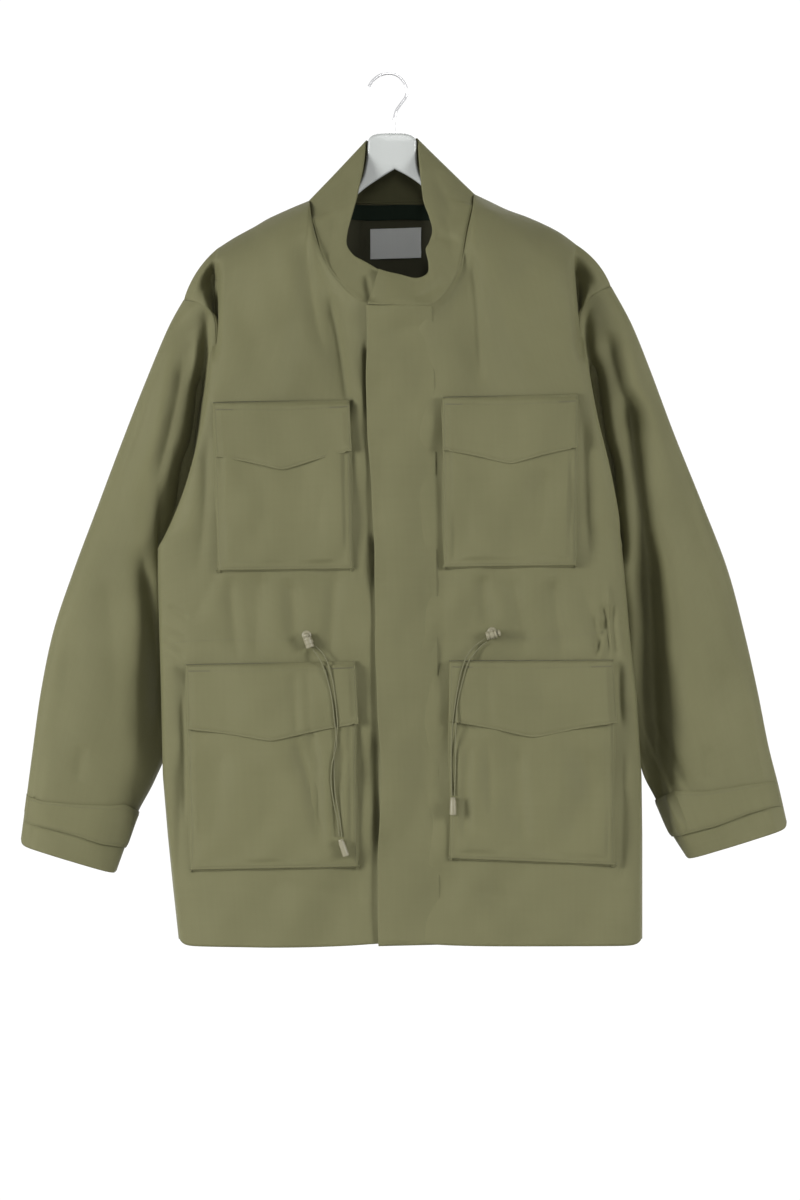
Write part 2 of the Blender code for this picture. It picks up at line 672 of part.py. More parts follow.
def build_pockets(front_left, front_right):
    """Bags and flaps; returns the outsides of what lies on each front, for the cords."""
    shell = shell_material()
    outsides = {"left": [], "right": []}
    for name, corners in POCKETS.items():
        surface = front_left if name.endswith("left") else front_right
        top_left, top_right, bottom_right, bottom_left, flap_left, flap_right, point = corners
        width = top_right[0] - top_left[0]

        def stand(s, t, x, z):
            edge = min(s, 1 - s) * width
            height = (1 - t) * (top_left[1] - bottom_left[1])
            below = (top_left[1] - FLAP_SEAM - z) / POCKET_MOUTH
            turned = max(0.0, min(1.0, edge / POCKET_TURN, height / POCKET_TURN, below))
            return SEAM_GAP + 0.3 + POCKET_STAND * math.sin(turned * math.pi / 2)

        bag = tuple((x, z - FLAP_SEAM) for x, z in (top_left, top_right)) + (bottom_right, bottom_left)
        level, side = name.split("_")
        outsides[side].append(laid(f"{level}_pocket_{side}", surface, bag, 8, 8, lambda s: 0.0, stand,
                                   CLOTH, shell))

        side_z = (flap_left[1] + flap_right[1]) / 2
        share = (point[0] - flap_left[0]) / (flap_right[0] - flap_left[0])

        def lower(s):
            reach = s / share if s < share else (1 - s) / (1 - share)
            return (side_z - point[1]) * min(1.0, reach)

        def over(s, t, x, z):
            away = smoothstep(0.0, 9.0, top_left[1] - z)
            return SEAM_GAP + 0.2 + away * (POCKET_STAND + CLOTH + SEAM_GAP + 0.5 + 1.2 * t)

        flap = (top_left, top_right, flap_right, flap_left)
        outsides[side].append(laid(f"{level}_flap_{side}", surface, flap, 8, 5, lower, over,
                                   STIFF_CLOTH, shell))
    return outsides


def build_fly(both_fronts):
    """The strip over the front closing, sewn at its right and free at its left."""
    steps_down, steps_across = 20, 4
    points = []
    for i in range(steps_down + 1):
        z = FLY[0][0] + (FLY[-1][0] - FLY[0][0]) * i / steps_down
        free_x = at_height(FLY, z, 1)
        sewn_x = at_height(FLY, z, 2)
        row = []
        for j in range(steps_across + 1):
            s = j / steps_across
            x = free_x + (sewn_x - free_x) * s
            lift = 1.4 * (1 - s) ** 2 * (0.5 + 0.5 * math.cos(z / 38.0))
            row.append((x, both_fronts.depth(x, z) - SEAM_GAP - 0.3 - lift - STIFF_CLOTH, z))
        points.append(row)
    flat_wall("fly", points, STIFF_CLOTH, shell_material())


def build_cuff_tabs():
    """Tabs round the cuffs and the hook patch that one closes on, moved out from the sleeve's surface."""
    pieces = (
        # name, first and last turn, shares at its top and bottom there, thickness, columns
        ("cuff_tab_left", 0.06, 1.30, (0.945, 0.975), (0.868, 0.935), STIFF_CLOTH, 12),
        ("cuff_tab_right", 0.06, 1.30, (0.93, 0.968), (0.862, 0.955), STIFF_CLOTH, 12),
        ("cuff_patch_left", -0.14, 0.03, (0.935, 0.965), (0.935, 0.965), CLOTH, 4),
    )
    for name, first, last, span_first, span_last, thickness, columns in pieces:
        left = name.endswith("left")
        table = SLEEVE_LEFT if left else SLEEVE_RIGHT
        points = []
        for i in range(4):
            row = []
            for j in range(columns + 1):
                turn = first + (last - first) * j / columns
                part = max(0.0, min(turn, 1.0))
                low = span_first[0] + (span_last[0] - span_first[0]) * part
                high = span_first[1] + (span_last[1] - span_first[1]) * part
                share = low + (high - low) * i / 3
                spot = sleeve_point(table, Vector(), share, turn)
                step = sleeve_point(table, Vector(), share, turn + 0.01) - spot
                down = sleeve_point(table, Vector(), share + 0.01, turn) - spot
                out = step.cross(down).normalized() * (-1 if left else 1)
                row.append(spot + out * (TAB_CLEAR + thickness))
            points.append(row)
        middle = points[1][columns // 2]
        wall(name, points, thickness, shell_material(), outside=(middle, middle - SLEEVE_MIDDLE[left]))


def build_neck_lining():
    """The darker cloth inside the back of the neck, the tape over its seam and the blank label."""
    lining = material("dark_lining", (0.055, 0.052, 0.035), 0.7)
    tape = material("green_tape", (0.01, 0.03, 0.018), 0.8)
    label = material("woven_label", (0.42, 0.44, 0.44), 0.7)

    def inside(x, z, clear):
        for a, b in zip(NECK_BACK, NECK_BACK[1:]):
            if x <= b[0]:
                return a[2] + (b[2] - a[2]) * (x - a[0]) / (b[0] - a[0]) - CLOTH - clear + (z + 150) * 0.02
        return 0.0

    def patch(name, x0, x1, top, bottom, clear, thickness, columns, rows, mat):
        across = [x0 + (x1 - x0) * j / columns for j in range(columns + 1)]
        down = [top + (bottom - top) * i / rows for i in range(rows + 1)]
        points = [[(x, inside(x, z, clear) - thickness, z) for x in across] for z in down]
        flat_wall(name, points, thickness, mat)

    patch("neck_lining", -55, 65, -154, -262, 2.6, 1.2, 10, 3, lining)
    patch("neck_tape", -50, 60, -154.5, -164, 4.4, 0.8, 10, 1, tape)
    patch("neck_label", -21, 40, -181, -217, 4.8, 0.8, 6, 2, label)


# ------------------------------------------------------------------------------ hanger and cords
def curve_tube(name, points, diameter, mat, parts):
    """A wire or cord: a smooth curve through the route, read every two diameters or so."""
    smooth = []
    for k in range(len(points) - 1):
        for step in range(parts):
            smooth.append(along(points, (k + step / parts) / (len(points) - 1)))
    smooth.append(points[-1])
    curve = bpy.data.curves.new(name, "CURVE")
    curve.dimensions = "3D"
    curve.bevel_depth = diameter / 2 * MM
    curve.bevel_resolution = 2
    curve.use_fill_caps = True
    spline = curve.splines.new("POLY")
    spline.points.add(len(smooth) - 1)
    for point, place in zip(spline.points, smooth):
        point.co = (*(Vector(place) * MM), 1.0)
    thing = bpy.data.objects.new(name, curve)
    curve.materials.append(mat)
    COAT.objects.link(thing)
    return thing


def build_hanger():
    """Moulded hanger: one outline with rounded head and sloping arms, bevelled all round."""
    outline = []
    for angle in range(0, 181, 20):
        turn = math.radians(180 - angle)
        outline.append((5 + 22.5 * math.copysign(abs(math.cos(turn)) ** 0.6, math.cos(turn)),
                        HANGER_TOP_Z - 11 + 11 * math.sin(turn) ** 0.8))
    right = [(28.5, -100), (36, -118), (60, -144), (103, -167), (165, -193), (212, -218),
             (217, -225), (215, -233), (206, -237), (103, -184), (38, -131)]
    left = [(-29, -137), (-94, -190), (-184, -241), (-193, -239), (-196, -230), (-191, -222),
            (-144, -200), (-94, -175), (-52, -151), (-28, -123), (-18.5, -101)]
    outline += right + [(8, -113)] + left
    curve = bpy.data.curves.new("hanger", "CURVE")
    curve.dimensions = "2D"
    curve.fill_mode = "BOTH"
    curve.extrude = (HANGER_THICK / 2 - 2) * MM
    spline = curve.splines.new("POLY")
    spline.points.add(len(outline) - 1)
    for point, (x, z) in zip(spline.points, outline):
        point.co = (x * MM, z * MM, 0.0, 1.0)
    spline.use_cyclic_u = True
    curve.bevel_depth = 2 * MM
    curve.bevel_resolution = 1
    curve.offset = -2 * MM
    drawn = bpy.data.objects.new("hanger_outline", curve)
    GUIDES.objects.link(drawn)
    bpy.context.view_layer.update()
    mesh = bpy.data.meshes.new_from_object(drawn.evaluated_get(bpy.context.evaluated_depsgraph_get()))
    mesh.name = "hanger"
    bm = bmesh.new()
    bm.from_mesh(mesh)
    bmesh.ops.remove_doubles(bm, verts=bm.verts, dist=0.00002)
    for vert in bm.verts:
        vert.co = Vector((vert.co.x, -vert.co.z, vert.co.y))
    bmesh.ops.recalc_face_normals(bm, faces=bm.faces)
    bm.to_mesh(mesh)
    bm.free()
    bpy.data.objects.remove(drawn, do_unlink=True)
    own("hanger", mesh, material("hanger_plastic", (0.58, 0.62, 0.6), 0.28))
    wire = [(x, 0.0, z) for x, z in HOOK_PATH]
    curve_tube("hook", wire, HOOK_WIRE, material("chrome", (0.62, 0.62, 0.63), 0.16, 1.0), 3)


def turned(name, centre, axis, sections, mat):
    """A round piece along an axis: sections of (distance along the axis, radius)."""
    bm = bmesh.new()
    way = Vector(axis).normalized()
    turn = way.to_track_quat("Z", "Y").to_matrix()
    profile = [bm.verts.new((radius * MM, 0.0, place * MM)) for place, radius in sections]
    edges = [bm.edges.new(pair) for pair in zip(profile, profile[1:])]
    bmesh.ops.spin(bm, geom=profile + edges, cent=(0, 0, 0), axis=(0, 0, 1), angle=2 * math.pi, steps=14,
                   use_merge=True)
    bmesh.ops.remove_doubles(bm, verts=bm.verts, dist=0.000005)
    bmesh.ops.holes_fill(bm, edges=[edge for edge in bm.edges if edge.is_boundary], sides=0)
    for vert in bm.verts:
        vert.co = turn @ vert.co + Vector(centre) * MM
    return finish(name, bm, mat)


def ring(name, centre, radius, hole, thick, mat):
    """A flat eyelet facing the front."""
    bm = bmesh.new()
    corners = [(hole, 0), (radius, 0), (radius, thick), (hole, thick)]
    profile = [bm.verts.new((r * MM, 0.0, h * MM)) for r, h in corners]
    edges = [bm.edges.new((profile[k], profile[(k + 1) % 4])) for k in range(4)]
    bmesh.ops.spin(bm, geom=profile + edges, cent=(0, 0, 0), axis=(0, 0, 1), angle=2 * math.pi, steps=16,
                   use_merge=True)
    bmesh.ops.remove_doubles(bm, verts=bm.verts, dist=0.000005)
    for vert in bm.verts:
        vert.co = Vector((vert.co.x, vert.co.z, vert.co.y)) + Vector(centre) * MM
    return finish(name, bm, mat)


def build_cords(faces):
    khaki = material("khaki_plastic", (0.33, 0.29, 0.19), 0.45)
    cord = material("cord", (0.16, 0.15, 0.085), 0.75)
    locks = {
        # side: eyelet x, z; lock centre x, z; the way it points
        "left": ((-97, -676), (-95, -679), (0.34, -0.94)),
        "right": ((124, -670), (126, -671), (-0.94, -0.34)),
    }
    for side, (eye, centre, way) in locks.items():
        surface = faces[side]
        base = surface.depth(eye[0], eye[1], 6.0)
        ring(f"eyelet_{side}", (eye[0], base - 1.6, eye[1]), 5.5, 2.4, 1.2, khaki)
        turned(f"cord_lock_{side}", (centre[0], base - 7.1, centre[1]), (way[0], 0.0, way[1]),
               [(-8.5, 3.0), (-8, 3.4), (-5.5, 3.4), (-5.2, 4.6), (-4.6, 5.0), (7.4, 5.0), (8.0, 4.4)], khaki)
    ends = {"left": ((-53, -925), (0.35, -0.94)), "right": ((77.5, -875.5), (0.0, -1.0))}
    for name, route in CORDS.items():
        side = name.split("_")[1]
        surface = faces[side]
        place = [(x, surface.depth(x, z, 9.0) - proud - 1.0 - CORD_DIAMETER / 2, z) for x, z, proud in route]
        curve_tube(name, place, CORD_DIAMETER, cord, 2)
    for side, (centre, way) in ends.items():
        base = faces[side].depth(centre[0], centre[1], 9.0)
        turned(f"cord_end_{side}", (centre[0], base - 5.2, centre[1]), (way[0], 0.0, way[1]),
               [(-10.5, 2.6), (-9.8, 3.6), (9.6, 4.2), (10.2, 3.6)], khaki)


clear_scene()
FRONTS = build_body()
build_sleeves()
build_collar()
FACES = {side: Surface([points]) for side, points in FRONTS.items()}
LAID = build_pockets(FACES["left"], FACES["right"])
build_fly(Surface(list(FRONTS.values())))
build_cuff_tabs()
build_neck_lining()
build_hanger()
build_cords({side: Surface([FRONTS[side]] + LAID[side]) for side in FRONTS})
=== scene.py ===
"""The looks of an olive raincoat on a moulded hanger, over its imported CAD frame.

Blender 4.5, metres, +Z up. The coat's front faces -Y and the origin is the inside top of the hook.
"Left" and "right" are the viewer's. The tables are in millimetres, in the frame of the CAD model.
"""
import math

import bmesh
import bpy
import numpy as np
from mathutils import Matrix, Vector
from mathutils.bvhtree import BVHTree


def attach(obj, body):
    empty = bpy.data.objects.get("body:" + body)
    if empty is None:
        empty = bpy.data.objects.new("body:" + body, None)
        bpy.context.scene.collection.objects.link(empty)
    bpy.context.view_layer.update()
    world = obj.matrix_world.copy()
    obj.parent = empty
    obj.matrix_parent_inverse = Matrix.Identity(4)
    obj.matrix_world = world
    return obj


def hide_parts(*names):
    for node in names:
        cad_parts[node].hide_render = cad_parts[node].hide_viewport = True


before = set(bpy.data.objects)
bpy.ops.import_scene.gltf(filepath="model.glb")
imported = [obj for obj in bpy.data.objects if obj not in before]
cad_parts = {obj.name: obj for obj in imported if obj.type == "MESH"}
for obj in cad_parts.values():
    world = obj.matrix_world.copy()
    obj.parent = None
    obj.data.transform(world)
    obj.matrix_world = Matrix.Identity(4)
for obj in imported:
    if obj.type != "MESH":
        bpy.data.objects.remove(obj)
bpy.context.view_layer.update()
MM = 0.001

# ------------------------------------------------------------------------------ camera and light
# The coat hangs free before white, seen square on from far away. Two big soft boxes light it evenly
# from left and right, with a weak one before it and one behind. A pale floor lies below the view.
VIEW_HEIGHT = 1.440
VIEW_X, VIEW_Z = 0.0144, -0.630
CAMERA_AWAY = 8.0
FLOOR_Z = -1.45

camera_data = bpy.data.cameras.new("camera")
camera_data.sensor_width = 36.0
camera_data.lens = camera_data.sensor_width * CAMERA_AWAY / VIEW_HEIGHT


def added(name, data):
    """An object that holds the data, at the scene's origin."""
    made = bpy.data.objects.new(name, data)
    bpy.context.scene.collection.objects.link(made)
    return made


camera = added("camera", camera_data)
camera.location = (VIEW_X, -CAMERA_AWAY, VIEW_Z)
camera.rotation_euler = (math.pi / 2, 0.0, 0.0)
bpy.context.scene.camera = camera

SOFT_BOXES = (
    # name, place, the place it is aimed at, width, power
    ("box_left", (-3.0, -1.9, -0.3), (0, 0, -0.7), 1.0, 134),
    ("box_right", (3.0, -1.9, 0.0), (0, 0, -0.65), 1.0, 92),
    ("box_front", (0.2, -5.4, 1.3), (0, 0, -0.6), 1.0, 40),
    ("box_behind", (0.6, 2.8, 1.2), (0, 0, -0.6), 2.0, 60),
)
BOX_SHAPE = 1.5             # height over width
for name, place, aim, width, power in SOFT_BOXES:
    light = bpy.data.lights.new(name, "AREA")
    light.shape = "RECTANGLE"
    light.size = width
    light.size_y = width * BOX_SHAPE
    light.energy = power
    lamp = added(name, light)
    lamp.location = place
    lamp.rotation_euler = (Vector(aim) - Vector(place)).to_track_quat("-Z", "Y").to_euler()

# The room is white to the camera and in the plating, and dimmer to the cloth, so that its folds keep
# their shade.
ROOM_SEEN, ROOM_LIGHT = 1.05, 0.12
world = bpy.data.worlds.new("white_room")
world.use_nodes = True
room = world.node_tree
seen = room.nodes.new("ShaderNodeLightPath")
strength = room.nodes.new("ShaderNodeMapRange")
strength.inputs["To Min"].default_value = ROOM_LIGHT
strength.inputs["To Max"].default_value = ROOM_SEEN
either = room.nodes.new("ShaderNodeMath")
either.operation = "MAXIMUM"
room.links.new(seen.outputs["Is Camera Ray"], either.inputs[0])
room.links.new(seen.outputs["Is Glossy Ray"], either.inputs[1])
room.links.new(either.outputs["Value"], strength.inputs["Value"])
room.links.new(strength.outputs["Result"], room.nodes["Background"].inputs["Strength"])
room.nodes["Background"].inputs["Color"].default_value = (1.0, 1.0, 1.0, 1.0)
bpy.context.scene.world = world
bpy.context.scene.view_settings.view_transform = "Standard"


# ------------------------------------------------------------------------------------- finishes
class Value:
    """A shader socket that plain Python sums can be written with."""

    def __init__(self, finish, socket):
        self.finish = finish
        self.socket = socket

    def sum_with(self, operation, first, second):
        return self.finish.node("ShaderNodeMath", {"operation": operation}, {0: first, 1: second})

    def __add__(self, other):
        return self.sum_with("ADD", self, other)

    def __radd__(self, other):
        return self.sum_with("ADD", other, self)

    def __sub__(self, other):
        return self.sum_with("SUBTRACT", self, other)

    def __rsub__(self, other):
        return self.sum_with("SUBTRACT", other, self)

    def __mul__(self, other):
        return self.sum_with("MULTIPLY", self, other)

    def __rmul__(self, other):
        return self.sum_with("MULTIPLY", other, self)


class Finish:
    """A Principled material whose nodes are added by their type, settings and inputs."""

    def __init__(self, name, constants=()):
        self.material = bpy.data.materials.new(name)
        self.material.use_nodes = True
        self.tree = self.material.node_tree
        self.shader = self.tree.nodes["Principled BSDF"]
        for socket, value in dict(constants).items():
            self.shader.inputs[socket].default_value = value

    def node(self, kind, settings=(), inputs=(), output=0):
        made = self.tree.nodes.new(kind)
        for key, value in dict(settings).items():
            setattr(made, key, value)
        for key, value in dict(inputs).items():
            self.set(made.inputs[key], value)
        return Value(self, made.outputs[output])

    def set(self, socket, value):
        if isinstance(value, Value):
            self.tree.links.new(value.socket, socket)
        else:
            socket.default_value = value

    def feed(self, socket, value):
        self.set(self.shader.inputs[socket], value)

    def object_place(self):
        return self.node("ShaderNodeTexCoord", output="Object")

    def noise(self, place, scale, detail=2.0, stretch=(1, 1, 1)):
        spread = self.node("ShaderNodeMapping", {"vector_type": "POINT"}, {"Vector": place, "Scale": stretch})
        return self.node("ShaderNodeTexNoise", {}, {"Vector": spread, "Scale": scale, "Detail": detail})

    def blend(self, share, first, second):
        return self.node("ShaderNodeMix", {"data_type": "RGBA"}, {0: share, 6: first, 7: second}, output=2)

    def bump(self, height, distance):
        self.feed("Normal", self.node("ShaderNodeBump", {}, {"Height": height, "Distance": distance}))


def woven(name, colour, deep, roughness, thread=0.00042, slub=0.6):
    """Cloth in a plain weave on the piece's own UV map, which is in metres."""
    finish = Finish(name, {"Sheen Weight": 0.04, "Sheen Roughness": 0.4, "Specular IOR Level": 0.2})
    uv = finish.node("ShaderNodeUVMap", {"uv_map": "cut"})
    split = finish.node("ShaderNodeSeparateXYZ", {}, {0: uv})
    across = split
    down = Value(finish, split.socket.node.outputs[1])
    warp = finish.node("ShaderNodeMath", {"operation": "SINE"}, {0: across * (math.tau / thread)})
    weft = finish.node("ShaderNodeMath", {"operation": "SINE"}, {0: down * (math.tau / thread)})
    weave = warp * weft
    streaks = finish.noise(uv, 260.0, 2.0, (1.0, 0.06, 1.0))
    cross_streaks = finish.noise(uv, 230.0, 2.0, (0.06, 1.0, 1.0))
    patches = finish.noise(finish.object_place(), 9.0, 3.0)
    shade = patches * 0.9 + streaks * (0.5 * slub) + cross_streaks * (0.35 * slub) - 0.42
    finish.feed("Base Color", finish.blend(shade, (*colour, 1.0), (*deep, 1.0)))
    finish.feed("Roughness", roughness - 0.06 + patches * 0.10)
    finish.bump(weave * 0.35 + streaks * slub + cross_streaks * slub, 0.00012)
    return finish.material


SHELL = woven("olive_shell_cloth", (0.155, 0.150, 0.074), (0.121, 0.118, 0.057), 0.60)

# ---------------------------------------------------------------------------- hanger and hook
# A white moulded hanger with a domed head carries the coat: one outline with rounded edges, wide at
# its head and sloping down its arms. Its hook is a plated steel wire set into the head.
HANGER_THICK, HANGER_ROUND = 12, 3.4
HANGER_HEAD = (5, -82, 29.0, 12.2)           # middle x, foot z, half width, height of the dome
HANGER_RIGHT = ((34.6, -96), (35.6, -108), (39.5, -121), (52, -137), (72, -152), (103, -167), (165, -193),
                (206, -212), (214, -219), (216.5, -226), (213.5, -233), (206, -236), (196, -232),
                (150, -208), (103, -184), (66, -158), (38, -131), (20, -119))
HANGER_LEFT = ((-7, -122), (-29, -137), (-58, -162), (-94, -190), (-140, -218), (-176, -238),
               (-187, -241), (-194.5, -237), (-195, -229), (-188, -221), (-144, -200), (-94, -175),
               (-66, -160), (-46, -144), (-32.5, -126), (-27.5, -110), (-25.2, -96))
HANGER_FORK = (8, -113)                      # where the arms part, under the head


def read(rows, share):
    """A smooth reading of a table whose rows are spread evenly over 0..1: one result a column."""
    rows = np.asarray(rows, float)
    place = np.clip(share, 0.0, 1.0) * (len(rows) - 1)
    i = np.minimum(place.astype(int), len(rows) - 2)
    t = (place - i)[..., None]
    p, q = rows[np.maximum(i - 1, 0)], rows[i]
    r, s = rows[i + 1], rows[np.minimum(i + 2, len(rows) - 1)]
    made = 0.5 * (2 * q + (r - p) * t + (2 * p - 5 * q + 4 * r - s) * t ** 2
                  + (3 * q - p - 3 * r + s) * t ** 3)
    return np.moveaxis(made, -1, 0)


def moulded(name, colour, roughness, grain, coat=0.0):
    """Moulded plastic: a fine grain and a faint unevenness in its gloss."""
    finish = Finish(name, {"Coat Weight": coat})
    place = finish.object_place()
    fine = finish.noise(place, grain, 3.0)
    broad = finish.noise(place, 30.0, 2.0)
    finish.feed("Base Color", finish.blend(broad * 0.5, (*colour, 1.0), (*(c * 0.88 for c in colour), 1.0)))
    finish.feed("Roughness", roughness + fine * 0.08)
    finish.bump(fine, 0.00004)
    return finish.material


def smooth_mesh(name, bm, sharp=None):
    """The bmesh as a smooth mesh, in which edges over an angle in degrees stay sharp."""
    mesh = bpy.data.meshes.new(name)
    bm.to_mesh(mesh)
    bm.free()
    mesh.shade_smooth()
    if sharp:
        mesh.set_sharp_from_angle(angle=math.radians(sharp))
    return mesh


def hung(name, data, finish, node=None):
    """A finished piece that hangs with the rest, in a CAD node's place."""
    data.materials.append(finish)
    piece = added(name, data)
    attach(piece, "root")
    if node:
        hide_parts(node)
    return piece


def drawn(name, dimensions, places):
    """A curve of one straight-sided spline through places in millimetres."""
    curve = bpy.data.curves.new(name, "CURVE")
    curve.dimensions = dimensions
    spline = curve.splines.new("POLY")
    spline.points.add(len(places) - 1)
    for point, place in zip(spline.points, places):
        point.co = (*(np.array(place) * MM), 1.0)
    return curve


def along_route(name, points, diameter, finish, node, ring=5):
    """A wire or cord through the places of its route."""
    curve = drawn(name, "3D", points)
    curve.bevel_depth = diameter / 2 * MM
    curve.bevel_resolution = ring
    curve.use_fill_caps = True
    return hung(name, curve, finish, node)


head_x, head_z, head_half, head_high = HANGER_HEAD
outline = []
for step in range(25):
    turn = math.pi * (1 - step / 24)
    outline.append((head_x + head_half * math.copysign(abs(math.cos(turn)) ** 0.55, math.cos(turn)),
                    head_z + head_high * math.sin(turn) ** 0.85))
arm_right = read(HANGER_RIGHT, np.linspace(0, 1, 70)).T
arm_left = read(HANGER_LEFT, np.linspace(0, 1, 66)).T
outline = [(x, z, 0.0) for x, z in (*outline, *arm_right, HANGER_FORK, *arm_left)]
curve = drawn("hanger_outline", "2D", outline)
curve.fill_mode = "BOTH"
curve.extrude = (HANGER_THICK / 2 - HANGER_ROUND) * MM
curve.bevel_depth = HANGER_ROUND * MM
curve.bevel_resolution = 4
curve.offset = -HANGER_ROUND * MM
curve.splines[0].use_cyclic_u = True
flat = added("hanger_outline", curve)
bpy.context.view_layer.update()
bm = bmesh.new()
bm.from_mesh(flat.evaluated_get(bpy.context.evaluated_depsgraph_get()).to_mesh())
bpy.data.objects.remove(flat)
bmesh.ops.remove_doubles(bm, verts=bm.verts, dist=0.00002)
bmesh.ops.rotate(bm, verts=bm.verts, cent=(0, 0, 0), matrix=Matrix.Rotation(math.pi / 2, 3, "X"))
bmesh.ops.recalc_face_normals(bm, faces=bm.faces)
hung("hanger_body", smooth_mesh("hanger_body", bm, sharp=40),
     moulded("hanger_moulding", (0.46, 0.48, 0.465), 0.28, 500.0, coat=0.2), "hanger")

HOOK_WIRE = 3.8
HOOK_PATH = ((-23, -14), (-18, -6.5), (-10, -0.6), (0, 1.9), (10, 0), (18, -7), (22.5, -17),
             (21.5, -26), (16, -34), (10.5, -42), (8, -50), (7, -58), (7, -75))
plated = Finish("hook_plating", {"Metallic": 1.0})
brushed = plated.noise(plated.object_place(), 400.0, 2.0, (1.0, 1.0, 0.1))
plated.feed("Base Color", plated.blend(brushed, (0.62, 0.62, 0.63, 1.0), (0.50, 0.50, 0.51, 1.0)))
plated.feed("Roughness", 0.10 + brushed * 0.14)
bend = read([(x, 0.0, z) for x, z in HOOK_PATH], np.linspace(0, 1, 110)).T
along_route("hook_wire", bend, HOOK_WIRE, plated.material, "hook")

# ------------------------------------------------------------------------------ fronts and back
# The body is three panels of tightly woven shell cloth: two fronts that meet under the fly, and a
# back. They are sewn along the shoulders and sides, hang from the hanger's arms and fall open below.
CLOTH = 1.3
TUCK = 0.8                  # how far a sewn edge is drawn in
FRONT_X, SEAM_GAP = 10, 0.3
SIDE_Y = -10
HEM_Z = -1043
SHOULDER_ROLL = 34          # how far down a panel rolls away from the seam at its top
NECKS = {"left": (
    # seam x, z, y      top x, z, y of the collar over it
    (8, -278, -64,      5, -241, -47),
    (-8, -278, -63,     -10, -236, -46),
    (-26, -277, -61,    -22, -229, -45),
    (-38, -270, -58,    -31, -224, -44),
    (-53, -257, -53,    -41, -218, -42),
    (-71, -233, -46,    -49, -206, -39),
    (-82, -208, -39,    -48, -190, -36),
    (-90, -179, -29,    -42, -166, -33),
    (-94, -150, 0,      -27, -80, 0),
), "right": (
    (13, -278, -68,     16, -242, -52.5),
    (24, -278, -67.5,   34, -246, -52),
    (38, -278, -66,     47, -240, -50),
    (53, -277, -62,     48, -227, -47),
    (67, -266, -57,     45, -212, -45),
    (79, -247, -50,     49, -203, -42),
    (89, -221, -43,     53, -188, -38),
    (95, -189, -34,     49, -171, -34),
    (101, -161, -20,    43, -154, -30),
    (103, -142, 0,      36, -78, 0),
)}
NECK_BACK = (
    (-84, -150, 16,     -23, -79, 9),
    (-64, -151, 32,     -17, -77, 14),
    (-31, -150, 42,     -6, -77, 18),
    (5, -149, 45,       5, -76, 19),
    (41, -148, 42,      16, -76, 18),
    (74, -145, 32,      26, -76, 14),
    (95, -143, 16,      32, -76, 9),
)
SHOULDERS = {
    "left": ((-94, -150), (-111, -157), (-127, -164), (-144, -172), (-161, -182), (-183, -194),
             (-205, -208)),
    "right": ((103, -142), (122, -151), (143, -161), (165, -169), (186, -178), (207, -189),
              (226, -203)),
}
ARMHOLES = {
    "left": (
        # fold x, z      seam x, z     front y, back y
        (-205, -208,    -245.5, -270,   0, 0),
        (-208, -224,    -237, -272,   -12, 8),
        (-209, -244,    -228, -274,   -20, 12),
        (-209, -263,    -220, -278,   -24, 13),
        (-209, -284,    -208, -290,   -24, 12),
        (-211, -312,    -205, -316,   -23, 10),
        (-213, -344,    -206, -347,   -20, 9),
        (-217, -380,    -210, -383,   -17, 8),
        (-224, -420,    -217, -422,   -14, 7),
        (-233, -460,    -226, -462,   -12, 6),
        (-244, -498,    -240, -500,   -12, 6),
        (-259, -536,    -257, -539,   -12, 1),
        (-274, -568,    -276, -568,   -10, -10),
    ),
    "right": (
        (226, -203,      268, -254,     0, 0),
        (224, -220,      261, -257,    -9, 8),
        (225, -239,      252, -261,   -13, 12),
        (227, -258,      242, -268,   -14, 13),
        (230, -282,      230, -288,   -13, 12),
        (234, -312,      228, -316,   -12, 10),
        (239, -344,      232, -347,   -12, 9),
        (245, -380,      238, -383,   -12, 8),
        (253, -420,      246, -422,   -12, 7),
        (263, -460,      256, -462,   -12, 6),
        (271, -498,      267, -500,   -12, 6),
        (277, -536,      275, -539,   -12, 1),
        (278, -568,      280, -568,   -10, -10),
    ),
}
SIDE_SEAMS = {
    # heights and places of the side seams from underarm to hem
    "height": (-568, -606, -678, -750, -846, -918, -978, -1043),
    "left": (-276, -276, -274, -272, -270, -264, -258, -251),
    "right": (280, 284, 290, 298, 304, 305, 305, 305),
}
UNDERARM, HEM_ROW = 12, 20  # rows of the underarm, the last of the armhole's, and of the hem
